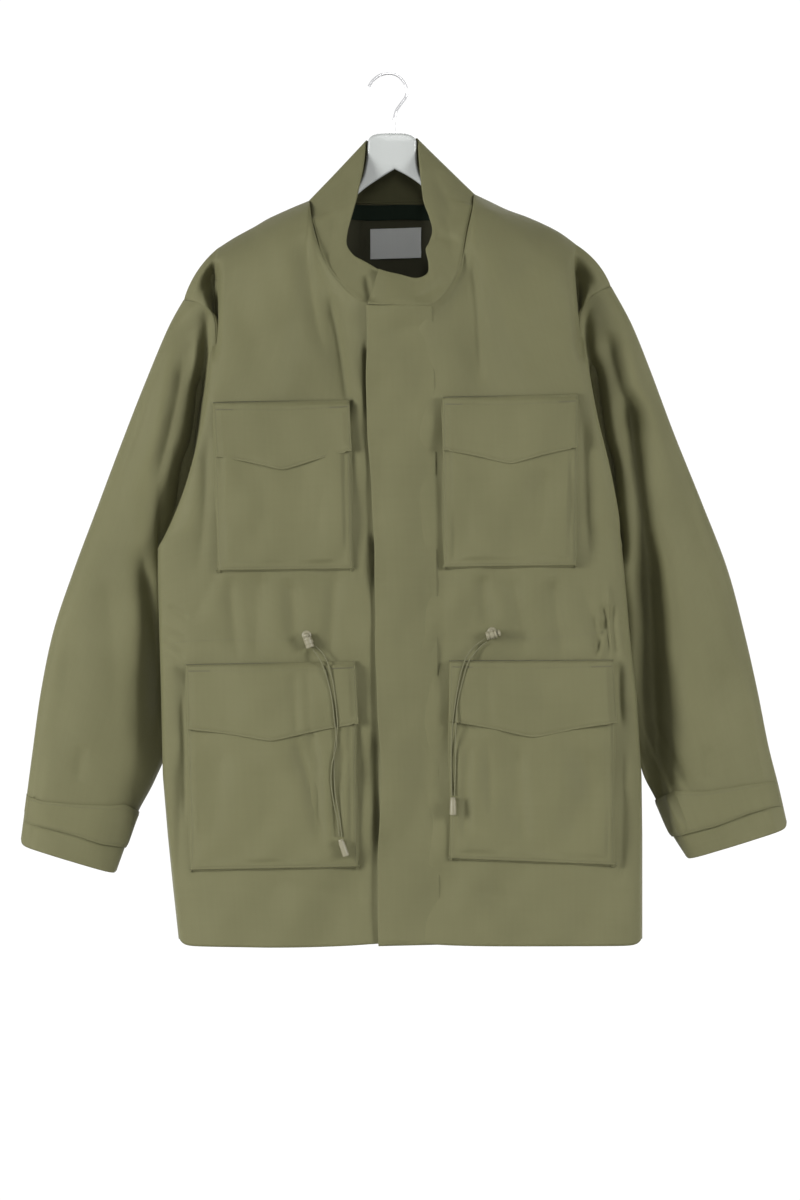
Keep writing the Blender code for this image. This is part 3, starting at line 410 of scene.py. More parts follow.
FRONT_CREASES = (
    # start x, z, end x, z, bow, width to the left and right of one that falls, depth (below 0 a ridge)
    (-74, -252, -46, -430, 4, 7, 20, 12.0),         # falls from the collar, left
    (-98, -190, -72, -350, -6, 8, 16, 6.0),
    (84, -240, 2, -345, -9, 6, 16, 13.0),           # the pull from the collar to the fly
    (97, -205, 108, -390, 4, 7, 20, 9.0),          # falls from the collar, right
    (-204, -218, -207, -350, 0, 4, 13, 30.0),      # the dip at the hanger's end, left
    (225, -212, 233, -350, 0, 10, 4, 30.0),         # and right
    (-215, -420, -229, -610, 3, 8, 12, 5.0),       # beside the chest pockets
    (-200, -590, -236, -660, 0, 9, 12, 3.0),
    (233, -400, 243, -600, -3, 12, 6, 5.5),
    (-150, -590, -160, -710, 0, 12, 18, 6.0),      # into the waist
    (-190, -596, -178, -710, 0, 8, 12, 5.5),
    (-94, -690, -86, -704, 0, 6, 8, 2.0),
    (-118, -600, -110, -690, 2, 8, 12, 5.0),
    (-60, -590, -72, -706, 0, 8, 10, 5.0),
    (112, -596, 120, -668, 0, 8, 8, 5.0),
    (196, -600, 212, -704, 0, 8, 12, 5.5),
    (148, -596, 166, -704, 0, 11, 16, 6.0),
    (66, -596, 60, -740, 3, 10, 16, 3.5),          # beside the fly, right
    (62, -440, 66, -600, 0, 6, 10, 2.2),
    (-274, -664, -236, -682, 2, 3, 4, 3.0),        # gathers at the left side
    (-273, -676, -240, -702, 2, 3, 4, 3.0),
    (-275, -690, -226, -734, 4, 5, 7, 3.0),
    (-264, -636, -236, -652, 0, 3, 4, 2.5),
    (255, -630, 263, -704, 3, 3, 4, 5.0),          # gathers at the right side
    (268, -632, 275, -706, -3, 4, 5, 5.0),
    (244, -644, 252, -694, 1, 2.5, 4, 3.5),
    (232, -610, 246, -700, 4, 8, 10, 3.0),
    (262, -606, 268, -700, 0, 3, 3, -3.0),
    (281, -644, 286, -700, 2, 3, 4, 4.0),
    (259, -650, 246, -702, 2, 3, 4, 5.0),
    (-246, -735, -243, -905, 2, 3, 4, 4.0),        # beside the hip pockets
    (-245, -800, -250, -985, -2, 8, 8, 3.0),
    (277, -700, 280, -790, -2, 5, 6, 6.0),
    (280, -800, 276, -985, 2, 6, 9, 3.5),
    (-150, -970, -40, -985, 4, 12, 14, 2.0),       # over the hem
    (60, -960, 170, -990, -5, 12, 14, 2.0),
    (-27, -318, -23, -420, 0, 7, 3, 5.0),          # behind the fly's free edge
    (-19, -545, -13, -625, 0, 7, 3, 4.0),
    (-15, -770, -10, -950, 0, 9, 3, 5.0),
    (-26, -300, -21, -520, 0, 2.5, 3, 2.6),
    (-20, -500, -13, -820, 1, 2.5, 3, 2.6),
    (-12, -790, -14, -1043, 0, 2.5, 3, 2.6),
)
BACK_CREASES = (
    (-60, -190, -90, -420, 8, 14, 26, 5.0),
    (74, -200, 96, -400, -6, 22, 14, 4.0),
    (-150, -600, -168, -720, 3, 12, 18, 4.0),
    (-70, -620, -74, -730, 0, 12, 12, 3.5),
    (10, -615, 20, -720, 0, 14, 10, 3.5),
    (100, -620, 112, -740, 3, 12, 16, 4.0),
    (180, -612, 200, -730, 3, 10, 16, 4.0),
    (-206, -210, -214, -350, 0, 7, 10, 9.0),
    (228, -206, 238, -350, 0, 10, 7, 9.0),
    (-228, -430, -190, -700, 10, 14, 22, 6.0),
    (240, -430, 206, -700, -10, 22, 14, 6.0),
    (-120, -760, -90, -1030, 8, 24, 30, 4.0),
    (60, -780, 90, -1030, -8, 26, 30, 4.0),
    (190, -760, 205, -1020, 6, 20, 26, 3.5),
)
BODY = {
    # depth in the middle, at the fold and squareness (each above and below the waist), creases
    "front": (54, (27, 25), (4.6, 3.2), FRONT_CREASES),
    "back": (42, (22, -3), (3.4, 2.0), BACK_CREASES),
}


def ease(low, high, value):
    """A smooth step from 0 at low to 1 at high."""
    t = np.clip((value - low) / (high - low), 0.0, 1.0)
    return t * t * (3 - 2 * t)


def creases(table, x, z):
    """The depth of a table of creases at places in the front view."""
    depth = np.zeros_like(x)
    for x0, z0, x1, z1, bow, left, right, deep in table:
        run_x, run_z = x1 - x0, z1 - z0
        length = math.hypot(run_x, run_z)
        t = ((x - x0) * run_x + (z - z0) * run_z) / length ** 2
        off = ((x - x0) * run_z - (z - z0) * run_x) / length + bow * 4 * t * (1 - t)
        width = np.where(off > 0, right, left)
        fade = ease(0.0, 0.22, t) * ease(0.0, 0.30, 1 - t)
        depth += deep * fade * np.exp(-np.abs(off / width) ** 1.6)
    return depth


def ripple(x, z, seed, height):
    """The slight unevenness of hanging cloth, from a few slow waves."""
    waves = np.random.default_rng(seed)
    total = np.zeros_like(x)
    for _ in range(9):
        way, size, start = waves.uniform(-0.75, 0.75), waves.uniform(42, 130), waves.uniform(0, math.tau)
        bend = 6.0 * np.sin(z / waves.uniform(60, 120) + start)
        total += np.sin((x * math.cos(way) + z * math.sin(way) + bend) * math.tau / size + start)
    return total * height / 5


def hem_height(x, side_x):
    """The hem dips a little at the left and turns up at its round corners."""
    level = HEM_Z + 4 * np.exp(-((x - 10) / 60) ** 2) - 1.5 * np.exp(-((x + 130) / 90) ** 2)
    return level + 11 * np.exp(-np.abs(np.abs(x) - abs(side_x)) / 5.0)


def panel(face, side, top, centre, seed, g, row):
    """Half of a front or back: g runs 0..1 from its centre to the fold and on to 2 at the armhole."""
    bulge, edge, square, table = BODY[face]
    facing = -1 if face == "front" else 1
    armhole = np.array(ARMHOLES[side], float)
    fold_x, fold_z, seam_x, seam_z, front_y, back_y = read(armhole, row / UNDERARM)
    below = np.clip((row - UNDERARM) / (HEM_ROW - UNDERARM), 0.0, 1.0)
    low_z = armhole[-1][1] + (HEM_Z - armhole[-1][1]) * below
    low_x = np.interp(-low_z, [-h for h in SIDE_SEAMS["height"]], SIDE_SEAMS[side])
    under = row > UNDERARM
    outward = -1.0 if side == "left" else 1.0
    fold_x = np.where(under, low_x - outward * 2.0, fold_x)
    fold_z = np.where(under, low_z, fold_z)
    seam_x = np.where(under, low_x, seam_x)
    seam_z = np.where(under, low_z, seam_z)
    seam_y = np.where(under, SIDE_Y, front_y if facing < 0 else back_y)
    drop = (armhole[0][1] - fold_z) / (armhole[0][1] - HEM_Z)
    power = square[0] + (square[1] - square[0]) * ease(0.28, 0.44, drop)
    edge_y = edge[0] + (edge[1] - edge[0]) * ease(0.30, 0.46, drop)

    # the panel itself, as far as the fold
    in_g = np.clip(g, 0.0, 1.0)
    top_x, top_z, top_y = top(in_g)
    even = 1 - (1 - in_g) ** 1.35
    at_top = (top_x - centre) / (armhole[0][0] - centre)
    share = at_top + (even - at_top) * ease(0.0, 0.36, drop)
    x = centre + (fold_x - centre) * share
    hem = hem_height(x, low_x)
    z = top_z + (hem - top_z) * drop
    full = edge_y + (bulge - edge_y) * np.maximum(0.0, 1 - share ** power) ** (1 / power)
    left_over = np.exp(-(np.maximum(top_z - z, 0.0) / SHOULDER_ROLL) ** 0.85)
    y = facing * full * (1 - left_over) + top_y * left_over
    settle = ease(0.0, 14.0, top_z - z)
    y -= facing * creases(table, x, z) * settle
    y -= facing * ripple(x, z, seed, 3.2) * settle * (1 - 0.7 * share ** 4)

    # the strip that turns from the fold to the armhole seam, full over the shoulder's end
    s = np.clip(g - 1.0, 0.0, 1.0)
    bow = 4 * s * (1 - s)
    cap = 1 - ease(0.0, 4.0, row)
    puff = 4.5 * cap + 0.5 * (1 - cap) * (1 - below)
    strip_z = np.where(under, z, fold_z)
    past_fold = g > 1.0
    crest = ease(0.5, 3.0, row) * (1 - ease(3.0, 4.5, row))
    end_z = np.where(under, z, seam_z)
    x = np.where(past_fold, fold_x + (seam_x - fold_x) * s + outward * bow * puff, x)
    z = np.where(past_fold, strip_z + (end_z - strip_z) * s + bow * 3.0 * cap, z)
    y = np.where(past_fold, y + (seam_y - y) * s, y)
    rise = 9.0 * np.exp(-((s - 0.62) / 0.30) ** 2) - 3.0 * np.exp(-((s - 0.12) / 0.14) ** 2)
    y += np.where(past_fold, facing * crest * rise, 0.0)
    return np.stack([x, y, z], -1)


def top_edge(side, neck):
    """A reading of a panel's top edge: the neck seam, then the shoulder."""
    shoulder = [(x, z, 0.0) for x, z in SHOULDERS[side]]
    turn = (len(neck) - 1) / (len(neck) + len(shoulder) - 2)

    def place(g):
        first, second = read(neck, g / turn), read(shoulder, (g - turn) / (1 - turn))
        return [np.where(g <= turn, a, b) for a, b in zip(first, second)]
    return place


def cloth(name, points, size, node, flat, thickness=CLOTH, closed=False,
          turned=False, tucked="", finish=SHELL):
    """A cloth piece from its outer points (rows, columns, 3): a grid with a thickness behind it.

    size is the extent of its weave; flat, the extent of its cut, is not used. turned reverses its
    sides; tucked names its sewn edges, which are drawn in a little.
    """
    rows, columns = points.shape[:2]
    spans = columns if closed else columns - 1
    bm = bmesh.new()
    uv = bm.loops.layers.uv.new("cut")
    bmesh.ops.create_grid(bm, x_segments=spans, y_segments=rows - 1, size=1.0, calc_uvs=True)
    for face in bm.faces:
        for loop in face.loops:
            loop[uv].uv = (loop[uv].uv.x * size[0], loop[uv].uv.y * size[1])
    sewn = {}
    for vert in bm.verts:
        i = round((1 - vert.co.y) / 2 * (rows - 1))
        j = round((vert.co.x + 1) / 2 * spans)
        vert.co = Vector(points[i, j % columns]) * MM
        sewn[vert] = ("top" in tucked and i == 0 or "bottom" in tucked and i == rows - 1
                      or "first" in tucked and j == 0 or "last" in tucked and j == spans)
    if turned:
        bmesh.ops.reverse_faces(bm, faces=bm.faces)
    bm.normal_update()
    for vert, edge in sewn.items():
        if edge:
            vert.co -= vert.normal * TUCK * MM
    if closed:
        bmesh.ops.remove_doubles(bm, verts=bm.verts, dist=0.00001)
    piece = hung(name, smooth_mesh(name, bm), finish, node)
    solid = piece.modifiers.new("thickness", "SOLIDIFY")
    solid.thickness = thickness * MM
    solid.offset = -1.0
    solid.use_even_offset = False


def body_grid(across, over):
    """Columns over a panel and over its fold, and rows down to the hem."""
    g = np.concatenate([np.linspace(0, 1, across)[:-1], np.linspace(1, 2, over)])
    rows = np.concatenate([np.linspace(0, 1.2, 18)[:-1], np.linspace(1.2, UNDERARM, 120)[:-1],
                           np.linspace(UNDERARM, HEM_ROW, 130)])
    return np.meshgrid(g, rows)


for side, seed, apart in (("left", 3, -SEAM_GAP), ("right", 8, SEAM_GAP)):
    neck = np.array([row[:3] for row in NECKS[side]], float)
    neck[0][0] = FRONT_X + apart
    points = panel("front", side, top_edge(side, neck), FRONT_X + apart, seed, *body_grid(104, 14))
    cloth(f"front_{side}_cloth", points, (0.33, 0.86), f"front_{side}", (0.32, 0.90),
          turned=side == "left", tucked="top last")

halves = []
for side, arc in (("left", NECK_BACK[:4][::-1]), ("right", NECK_BACK[3:])):
    end_x, end_z = NECKS[side][-1][:2]
    neck = [row[:3] for row in arc] + [(end_x, end_z, 0.0)]
    halves.append(panel("back", side, top_edge(side, neck), NECK_BACK[3][0], 5, *body_grid(70, 12)))
points = np.concatenate([halves[0][:, ::-1], halves[1][:, 1:]], axis=1)
cloth("back_cloth", points, (0.62, 0.90), "back", (0.62, 0.92), turned=True,
      tucked="top first last")

# ----------------------------------------------------------------------------------------- sleeves
# Drop-shoulder sleeves of the same cloth, cut wide: each is one tube, sewn to the body far out from
# the shoulder, that hangs in long soft folds beside the body.
SLEEVES = {
    "left": (
        # outer x, z      inner x, z      outer y, inner y, before, behind
        (-245.5, -270,   -276, -568,      0, -10,   14, 12),
        (-265, -306,     -280, -588,      0, 7,     30, 26),
        (-295, -378,     -269, -630,      0, 18,    36, 30),
        (-323, -450,     -265, -678,      0, 24,    37, 31),
        (-350, -522,     -264, -720,     -1, 26,    37, 31),
        (-377, -594,     -266, -762,     -2, 25,    36, 30),
        (-401, -666,     -264, -804,     -4, 22,    34, 29),
        (-416, -738,     -281, -848,     -6, 17,    31, 27),
        (-426, -810,     -300, -884,     -8, 12,    28, 25),
        (-433, -864,     -312, -916,    -10, 8,     26, 23),
        (-440, -916,     -326, -955,    -10, 6,     25, 22),
    ),
    "right": (
        (268, -254,      280, -568,      0, -10,   14, 12),
        (292, -298,      279, -588,      0, 8,     30, 26),
        (314, -352,      277, -630,      0, 18,    36, 30),
        (344, -432,      282, -678,      0, 24,    37, 31),
        (377, -514,      285, -720,     -1, 26,    37, 31),
        (407, -592,      291, -762,     -2, 25,    36, 30),
        (427, -667,      298, -804,     -4, 22,    34, 29),
        (443, -738,      307, -840,     -6, 17,    31, 27),
        (456, -804,      322, -870,     -8, 12,    28, 25),
        (468, -852,      338, -906,    -10, 8,     26, 23),
        (478, -896,      358, -938,    -10, 6,     25, 22),
    ),
}
SLEEVE_CREASES = {
    "left": (
        (-211, -250, -224, -400, 2, 5, 6, 20.0),      # deep, beside the body
        (-222, -340, -252, -540, 3, 8, 9, 32.0),
        (-236, -440, -264, -600, 0, 8, 9, 26.0),
        (-244, -330, -282, -500, 4, 10, 10, 8.0),
        (-228, -300, -250, -470, 3, 5, 5, -4.0),
        (-298, -560, -282, -860, 12, 11, 12, 15.0),   # long and soft, to the inner edge
        (-340, -600, -330, -800, 6, 20, 26, 5.0),
        (-270, -330, -330, -520, -6, 16, 20, 4.0),
        (-380, -640, -400, -800, 4, 16, 20, 3.5),
        (-372, -850, -364, -800, 0, 8, 8, 2.0),
    ),
    "right": (
        (232, -250, 250, -420, -3, 6, 6, 26.0),       # deep, beside the body
        (244, -330, 276, -520, -4, 8, 7, 30.0),
        (262, -440, 284, -600, -2, 8, 8, 24.0),
        (262, -300, 306, -440, -6, 14, 14, 12.0),     # the long valley
        (288, -370, 320, -620, -3, 15, 20, 26.0),
        (313, -540, 331, -900, -3, 19, 20, 42.0),
        (340, -380, 384, -600, -4, 14, 18, 4.0),
        (400, -700, 412, -860, 3, 16, 18, 3.0),
        (384, -852, 380, -800, 0, 5, 6, 3.5),
        (305, -778, 362, -938, 2, 3, 3, -9.0),
        (292, -790, 346, -935, 2, 8, 6, 9.0),
        (316, -770, 368, -870, 2, 6, 5, 7.0),
        (290, -300, 330, -400, 0, 12, 16, 4.0),
    ),
}
SLEEVE_BACK_CREASES = {
    "left": ((-228, -320, -258, -520, 3, 10, 12, 9.0), (-300, -500, -300, -800, 8, 18, 24, 6.0),
             (-350, -560, -390, -780, 5, 18, 22, 4.0)),
    "right": ((240, -320, 274, -520, -3, 12, 10, 9.0), (312, -500, 322, -800, -8, 24, 18, 6.0),
              (370, -560, 424, -780, -5, 22, 18, 4.0)),
}
CUFF_DROP = 9.0             # how much lower the front of a cuff hangs


def sleeve(side, share, a):
    """A sleeve: share runs down it, a 0..1 over its front from outer to inner edge, 1..2 behind."""
    a = np.mod(a, 2.0)
    table, armhole = SLEEVES[side], np.array(ARMHOLES[side], float)
    ahead = a <= 1.0
    up = np.where(ahead, a, 2.0 - a)
    seam_x, seam_z, front_y, back_y = read(armhole[:, 2:], up)
    line = armhole[:, [2, 4, 3]]
    runs = np.concatenate([[0.0], np.cumsum(np.linalg.norm(np.diff(line, axis=0), axis=1))])
    along = np.clip(np.interp(up * UNDERARM, range(len(runs)), runs / runs[-1]), 0, 1)
    s = np.arccos(1 - 2 * along) / math.pi

    def ring(values, belly_power):
        outer_x, outer_z, inner_x, inner_z, outer_y, inner_y, before, behind = values
        across = (1 - np.cos(math.pi * s)) / 2
        belly = np.abs(np.sin(math.pi * s)) ** belly_power
        depth = np.where(ahead, -before, behind)
        return (outer_x + (inner_x - outer_x) * across,
                outer_y + (inner_y - outer_y) * across + depth * belly,
                outer_z + (inner_z - outer_z) * across)

    x, y, z = ring(read(table, share), 1.0 + 0.5 * s * (1 - ease(0.2, 0.6, share)))
    x0, y0, z0 = ring(read(table, np.zeros_like(share)), 1.0 + 0.5 * s)
    seam_y = np.where(ahead, front_y, back_y)
    x = x + (seam_x - x0) * np.maximum(0.0, 1 - share / 0.22) ** 3
    z = z + (seam_z - z0) * np.maximum(0.0, 1 - share / 0.40) ** 2
    y = y + (seam_y - y0) * np.maximum(0.0, 1 - share / 0.12) ** 2
    lower = np.tanh(3 * np.sin(math.pi * s)) * (1 - 0.6 * s) * ease(0.8, 1.0, share)
    z = z - np.where(ahead, CUFF_DROP, CUFF_DROP / 3) * lower
    eased = np.abs(np.sin(math.pi * s)) ** 0.35 * ease(0.002, 0.03, share)
    folds = creases(SLEEVE_CREASES[side], x, z) * eased
    folds += ripple(x, z, 11 if side == "left" else 17, 2.6) * eased
    behind_folds = creases(SLEEVE_BACK_CREASES[side], x, z) * eased + ripple(x, z, 29, 2.6) * eased
    y = y + np.where(ahead, folds, -behind_folds)
    return np.stack([x, y, z], -1)


for side in ("left", "right"):
    shares = np.linspace(0, 1, 170) ** 1.25
    SHARE, A = np.meshgrid(shares, np.linspace(0, 2, 121)[:-1], indexing="ij")
    points = sleeve(side, SHARE, A)
    # the seam allowance turns in under the edge of the body
    allowance = points[0] + (points[0].mean(axis=0) - points[0]) * 0.03
    allowance[:, 0] += 4.0 if side == "left" else -4.0
    points = np.concatenate([allowance[None], points])
    cloth(f"sleeve_{side}_cloth", points, (0.50, 0.66), f"sleeve_{side}", (0.50, 0.62),
          closed=True, turned=side == "right")

# ------------------------------------------------------------------------------------------ collar
# A tall stand collar of two layers with interlining, sewn round the neck. It stands like a funnel,
# meets at the back and sides, and its right end laps over the left one at the front.
STIFF = 2.2
COLLAR_LAP = (
    (-24, -277, -68,    -11, -235, -53),
    (-8, -278, -68.5,   0, -238.5, -53.5),
    (3, -278, -68.5,    7, -240, -53),
)
# part of the way between the neck's last stations, top x, z, y
FAN_LEFT = ((0.3, -38, -150, -30), (0.6, -34, -130, -24), (0.85, -29.5, -105, -14))
FAN_RIGHT = ((0.3, 40.5, -135, -24), (0.65, 38, -106, -15))
COLLAR_CREASES = (
    (-62, -160, -74, -236, 0, 8, 10, 2.0),
    (66, -160, 80, -236, 2, 10, 8, 2.2),
    (54, -196, 88, -204, 2, 6, 8, 2.0),
    (-28, -238, -18, -280, 0, 4, 5, 3.0),
    (30, -272, 70, -246, -3, 5, 6, 1.6),
    (50, -110, 84, -190, 2, 8, 10, 1.8),
    (-40, -110, -70, -190, 2, 8, 10, 1.8),
)


def fan(neck, opening):
    """Stations between the last two of a neck, whose tops follow the collar's opening."""
    low, high = np.array(neck[-2][:3]), np.array(neck[-1][:3])
    return [(*(low + (high - low) * part), x, z, y) for part, x, z, y in opening]


left, right = NECKS["left"], NECKS["right"]
stations = [*left[:-1], *fan(left, FAN_LEFT), left[-1], *NECK_BACK, right[-1], *fan(right, FAN_RIGHT)[::-1],
            *right[:-1][::-1], *COLLAR_LAP[::-1]]
T, S = np.meshgrid(np.append(np.linspace(0, 1.005, 34), 1.03), np.linspace(0, 1, 230), indexing="ij")
seam_x, seam_z, seam_y, top_x, top_z, top_y = read(stations, S)
x = top_x + (seam_x - top_x) * T
y = top_y + (seam_y - top_y) * T
z = top_z + (seam_z - top_z) * T
facing = np.where(y < -8, 1.0, 0.0)
y = y + creases(COLLAR_CREASES, x, z) * facing * ease(0, 0.1, T) * ease(0, 0.12, 1 - T)
y = y + ripple(x, z, 41, 1.2) * ease(0, 0.2, T) * ease(0, 0.2, 1 - T)
# the seam allowance turns in under the body's edge
inward = np.stack([FRONT_X - x, -8 - y], -1)
inward = inward / np.linalg.norm(inward, axis=-1, keepdims=True) * (2.2 * ease(1.005, 1.03, T))[..., None]
points = np.stack([x + inward[..., 0], y + inward[..., 1], z], -1)
cloth("collar_cloth", points, (0.62, 0.09), "collar", (0.62, 0.09),
      thickness=STIFF, turned=True)

# ----------------------------------------------------------------------------------------- pockets
# Four bellows patch pockets: a bag whose sides fold in and out again before they are sewn down, under
# a lined flap with a blunt point. The bag's edge and the flap are edge-stitched.
POCKETS = {
    # top left, top right, bottom right, bottom left, flap's left and right corner, its point
    "chest_left": ((-209, -394), (-46, -391), (-42, -593), (-202, -595),
                   (-205, -458), (-43, -451), (-125, -475)),
    "chest_right": ((65, -388), (227, -384), (224, -589), (67, -591),
                    (65, -450), (226, -447), (146, -468)),
    "hip_left": ((-241, -706.5), (-39, -702.5), (-36, -948), (-235, -952),
                 (-239, -783), (-35, -776), (-139, -798)),
    "hip_right": ((73, -702), (269, -701), (270, -946), (75, -938),
                  (73, -773), (274, -775), (173, -794)),
}
POCKET_CUTS = {"chest": ((0.170, 0.205), (0.168, 0.080)), "hip": ((0.205, 0.245), (0.210, 0.088))}
BAG_LIFT, BAG_DROP = 4.6, 6      # how far the bag stands off the coat, and starts below the flap's top
FLAP_CLOTH = 1.8
FLAP_SEAMS = (8.5, 2.2)          # rows of stitches below the flap's top
BAG_EDGE = (
    # out from the bag's edge, how far it stands off the coat: the crown, the edge, the bellows below
    (-9.0, 4.6), (-5.0, 4.6), (-3.4, 4.5), (-2.8, 4.15), (-2.2, 4.4), (-0.9, 4.1), (-0.2, 3.4), (0.1, 2.6),
    (-0.4, 1.9), (-2.0, 1.5), (-2.4, 1.2), (-1.6, 0.9), (0.8, 0.9), (1.5, 0.5), (1.7, 0.0), (1.7, -1.0),
)
FLAP_EDGE = ((-7.0, 0.0), (-3.4, 0.0), (-2.7, -0.35), (-2.0, 0.0), (-0.7, -0.05), (0.0, -0.5))
BAG_CREASES = {
    "chest_left": ((-150, -470, -156, -580, 3, 16, 22, 3.0), (-70, -470, -84, -575, -3, 14, 20, 3.0)),
    "chest_right": ((100, -470, 96, -580, -3, 16, 20, 2.8), (190, -470, 176, -575, 3, 14, 20, 3.4)),
    "hip_left": ((-112, -708, -108, -800, 0, 4, 6, 4.6), (-96, -704, -92, -790, 0, 3, 5, 3.4),
                 (-112, -786, -76, -932, 5, 5, 10, 6.8), (-94, -776, -80, -884, 2, 4, 6, 4.9),
                 (-50, -796, -62, -930, -3, 5, 7, 4.2), (-200, -800, -214, -930, 4, 16, 22, 4.2),
                 (-150, -820, -150, -940, 3, 20, 26, 3.0)),
    "hip_right": ((118, -706, 122, -790, 0, 5, 8, 3.4), (158, -796, 168, -938, -4, 9, 14, 5.7),
                  (98, -796, 94, -925, -3, 5, 9, 4.9), (118, -786, 122, -900, 2, 5, 8, 3.4),
                  (232, -800, 244, -930, 4, 16, 18, 4.9)),
}


TREES = {}


def outer_side(name):
    """A tree of the outer side alone of a piece, for what is laid on it."""
    if name not in TREES:
        bm = bmesh.new()
        bm.from_mesh(bpy.data.objects[name].data)
        TREES[name] = BVHTree.FromBMesh(bm)
        bm.free()
    return TREES[name]


def foremost(names, x, z):
    """The depth of the foremost of some pieces at a place in the front view, or None past them all."""
    before, backward, reach = Vector((x, -200, z)) * MM, Vector((0, 1, 0)), 0.4
    hits = [outer_side(name).ray_cast(before, backward, reach)[0] for name in names]
    return min((hit.y / MM for hit in hits if hit is not None), default=None)


class Lie:
    """How deep the coat lies behind a place in the front view, evened out as a laid piece bridges it."""
    STEP, REACH, MARGIN = 5.0, 2, 15

    def __init__(self, names, low_x, high_x, low_z, high_z):
        self.corner = (low_x - self.MARGIN, low_z - self.MARGIN)
        across = int((high_x - low_x + 2 * self.MARGIN) / self.STEP) + 2
        down = int((high_z - low_z + 2 * self.MARGIN) / self.STEP) + 2
        depth = np.full((down, across), np.nan)
        for i in range(down):
            for j in range(across):
                y = foremost(names, self.corner[0] + j * self.STEP, self.corner[1] + i * self.STEP)
                if y is not None and y < 0:
                    depth[i, j] = y
        depth = np.where(np.isnan(depth), np.nanmax(depth), depth)
        for even in (np.min, np.mean):
            wide = np.pad(depth, self.REACH, mode="edge")
            steps = range(2 * self.REACH + 1)
            depth = even([wide[a:a + down, b:b + across] for a in steps for b in steps], axis=0)
        self.depth = depth

    def at(self, x, z):
        j = np.clip((x - self.corner[0]) / self.STEP, 0, self.depth.shape[1] - 1.001)
        i = np.clip((z - self.corner[1]) / self.STEP, 0, self.depth.shape[0] - 1.001)
        a, b = i.astype(int), j.astype(int)
        s, t = i - a, j - b
        d = self.depth
        return ((d[a, b] * (1 - t) + d[a, b + 1] * t) * (1 - s)
                + (d[a + 1, b] * (1 - t) + d[a + 1, b + 1] * t) * s)


def between(corners, s, t):
    """A place between four corners, clockwise from the top left."""
    (ax, az), (bx, bz), (cx, cz), (dx, dz) = corners
    return ((ax + (bx - ax) * s) * (1 - t) + (dx + (cx - dx) * s) * t,
            (az + (bz - az) * s) * (1 - t) + (dz + (cz - dz) * s) * t)


def bordered(profile, level, count, size, both=False):
    """Lines over a piece, level but for the border at its last or both ends: share, out, stand-off."""
    margin = (1.5 - profile[0][0]) / size
    lines = [(share, 0.0, level) for share in np.linspace(margin if both else 0.0, 1.0 - margin, count)]
    lines += [(1.0, out, off) for out, off in profile]
    if both:
        lines = [(0.0, -out, off) for out, off in profile[::-1]] + lines
    return np.array(lines).T


def bag(corners, wide, lie, table, waves):
    """The outer points of a pocket's bag on the coat behind it."""
    top_left, top_right, bottom_right, bottom_left = corners[:4]
    high = top_left[1] - bottom_left[1]
    s, out, lift_x = bordered(BAG_EDGE, BAG_LIFT, 44, wide, both=True)
    t, drop, lift_z = bordered(BAG_EDGE, BAG_LIFT, 50, high)
    S, T = np.meshgrid(s, t)
    top = [(x, z - BAG_DROP) for x, z in (top_left, top_right)]
    x, z = between((*top, bottom_right, bottom_left), S, T)
    bellows = lift_x < 1.3
    x = x + out * np.where(bellows, 0.75 + 0.5 * np.sin(z / 23.0 + waves), 1.0)
    z = z - drop[:, None]
    lift = np.minimum(lift_x, lift_z[:, None]) * ease(-2.0, 22.0, T * (high - BAG_DROP))
    inner = ease(0.0, 0.09, S) * ease(0.0, 0.09, 1 - S) * ease(0.0, 0.07, 1 - T)
    sag = 1.76 * inner * np.sin(math.pi * T) ** 0.8
    fold = (creases(table, x, z) + ripple(x, z, waves, 2.2)) * inner
    return np.stack([x, lie.at(x, z) - 0.2 - lift - sag + fold, z], -1)


def flap(corners, wide, lie, table, waves):
    """The outer points of a pocket's flap over its bag, and how far down it each row lies."""
    top_left, top_right, _, _, low_left, low_right, point = corners
    high = top_left[1] - low_left[1]
    s, out, dip_x = bordered(FLAP_EDGE, 0.0, 56, wide, both=True)
    t, drop, dip_z = bordered(FLAP_EDGE, 0.0, 26, high)
    S, T = np.meshgrid(s, t)
    share = (point[0] - low_left[0]) / (low_right[0] - low_left[0])
    x, z = between((top_left, top_right, low_right, low_left), S, T)
    near = np.where(S < share, S / share, (1 - S) / (1 - share))
    deep = (low_left[1] + low_right[1]) / 2 - point[1]
    tip = 1.11 - np.sqrt((1 - near) ** 2 + 0.012)
    x = x + out
    z = z - drop[:, None] - deep * T * (tip - 0.10 * np.sin(math.pi * near))
    away = 1.4 + ease(0.0, 2.6, top_left[1] - z) * 4.2
    groove = 0.45 * np.exp(-((top_left[1] - z - FLAP_SEAMS[0]) / 0.9) ** 2)
    hang = 1.3 * T ** 2 + 0.5 * np.sin(x / 17.0 + waves) * T ** 3
    folds = (creases(table, x, z) * 0.8 + ripple(x, z, waves + 5, 1.6)) * (0.35 + 0.65 * T)
    settle = ease(0.0, 0.05, S) * ease(0.0, 0.05, 1 - S)
    y = (lie.at(x, z) - 1.6 - away - hang - 1.2 * np.sin(math.pi * T) * settle + groove + folds * settle
         - dip_x - dip_z[:, None])
    return np.stack([x, y, z], -1), t * high


def edge_stitch(points, column, row):
    """The line of stitches down one side of a piece, along its foot and up its other side."""
    return np.concatenate([points[:row, column], points[row, column:-column], points[:row, -column][::-1]])


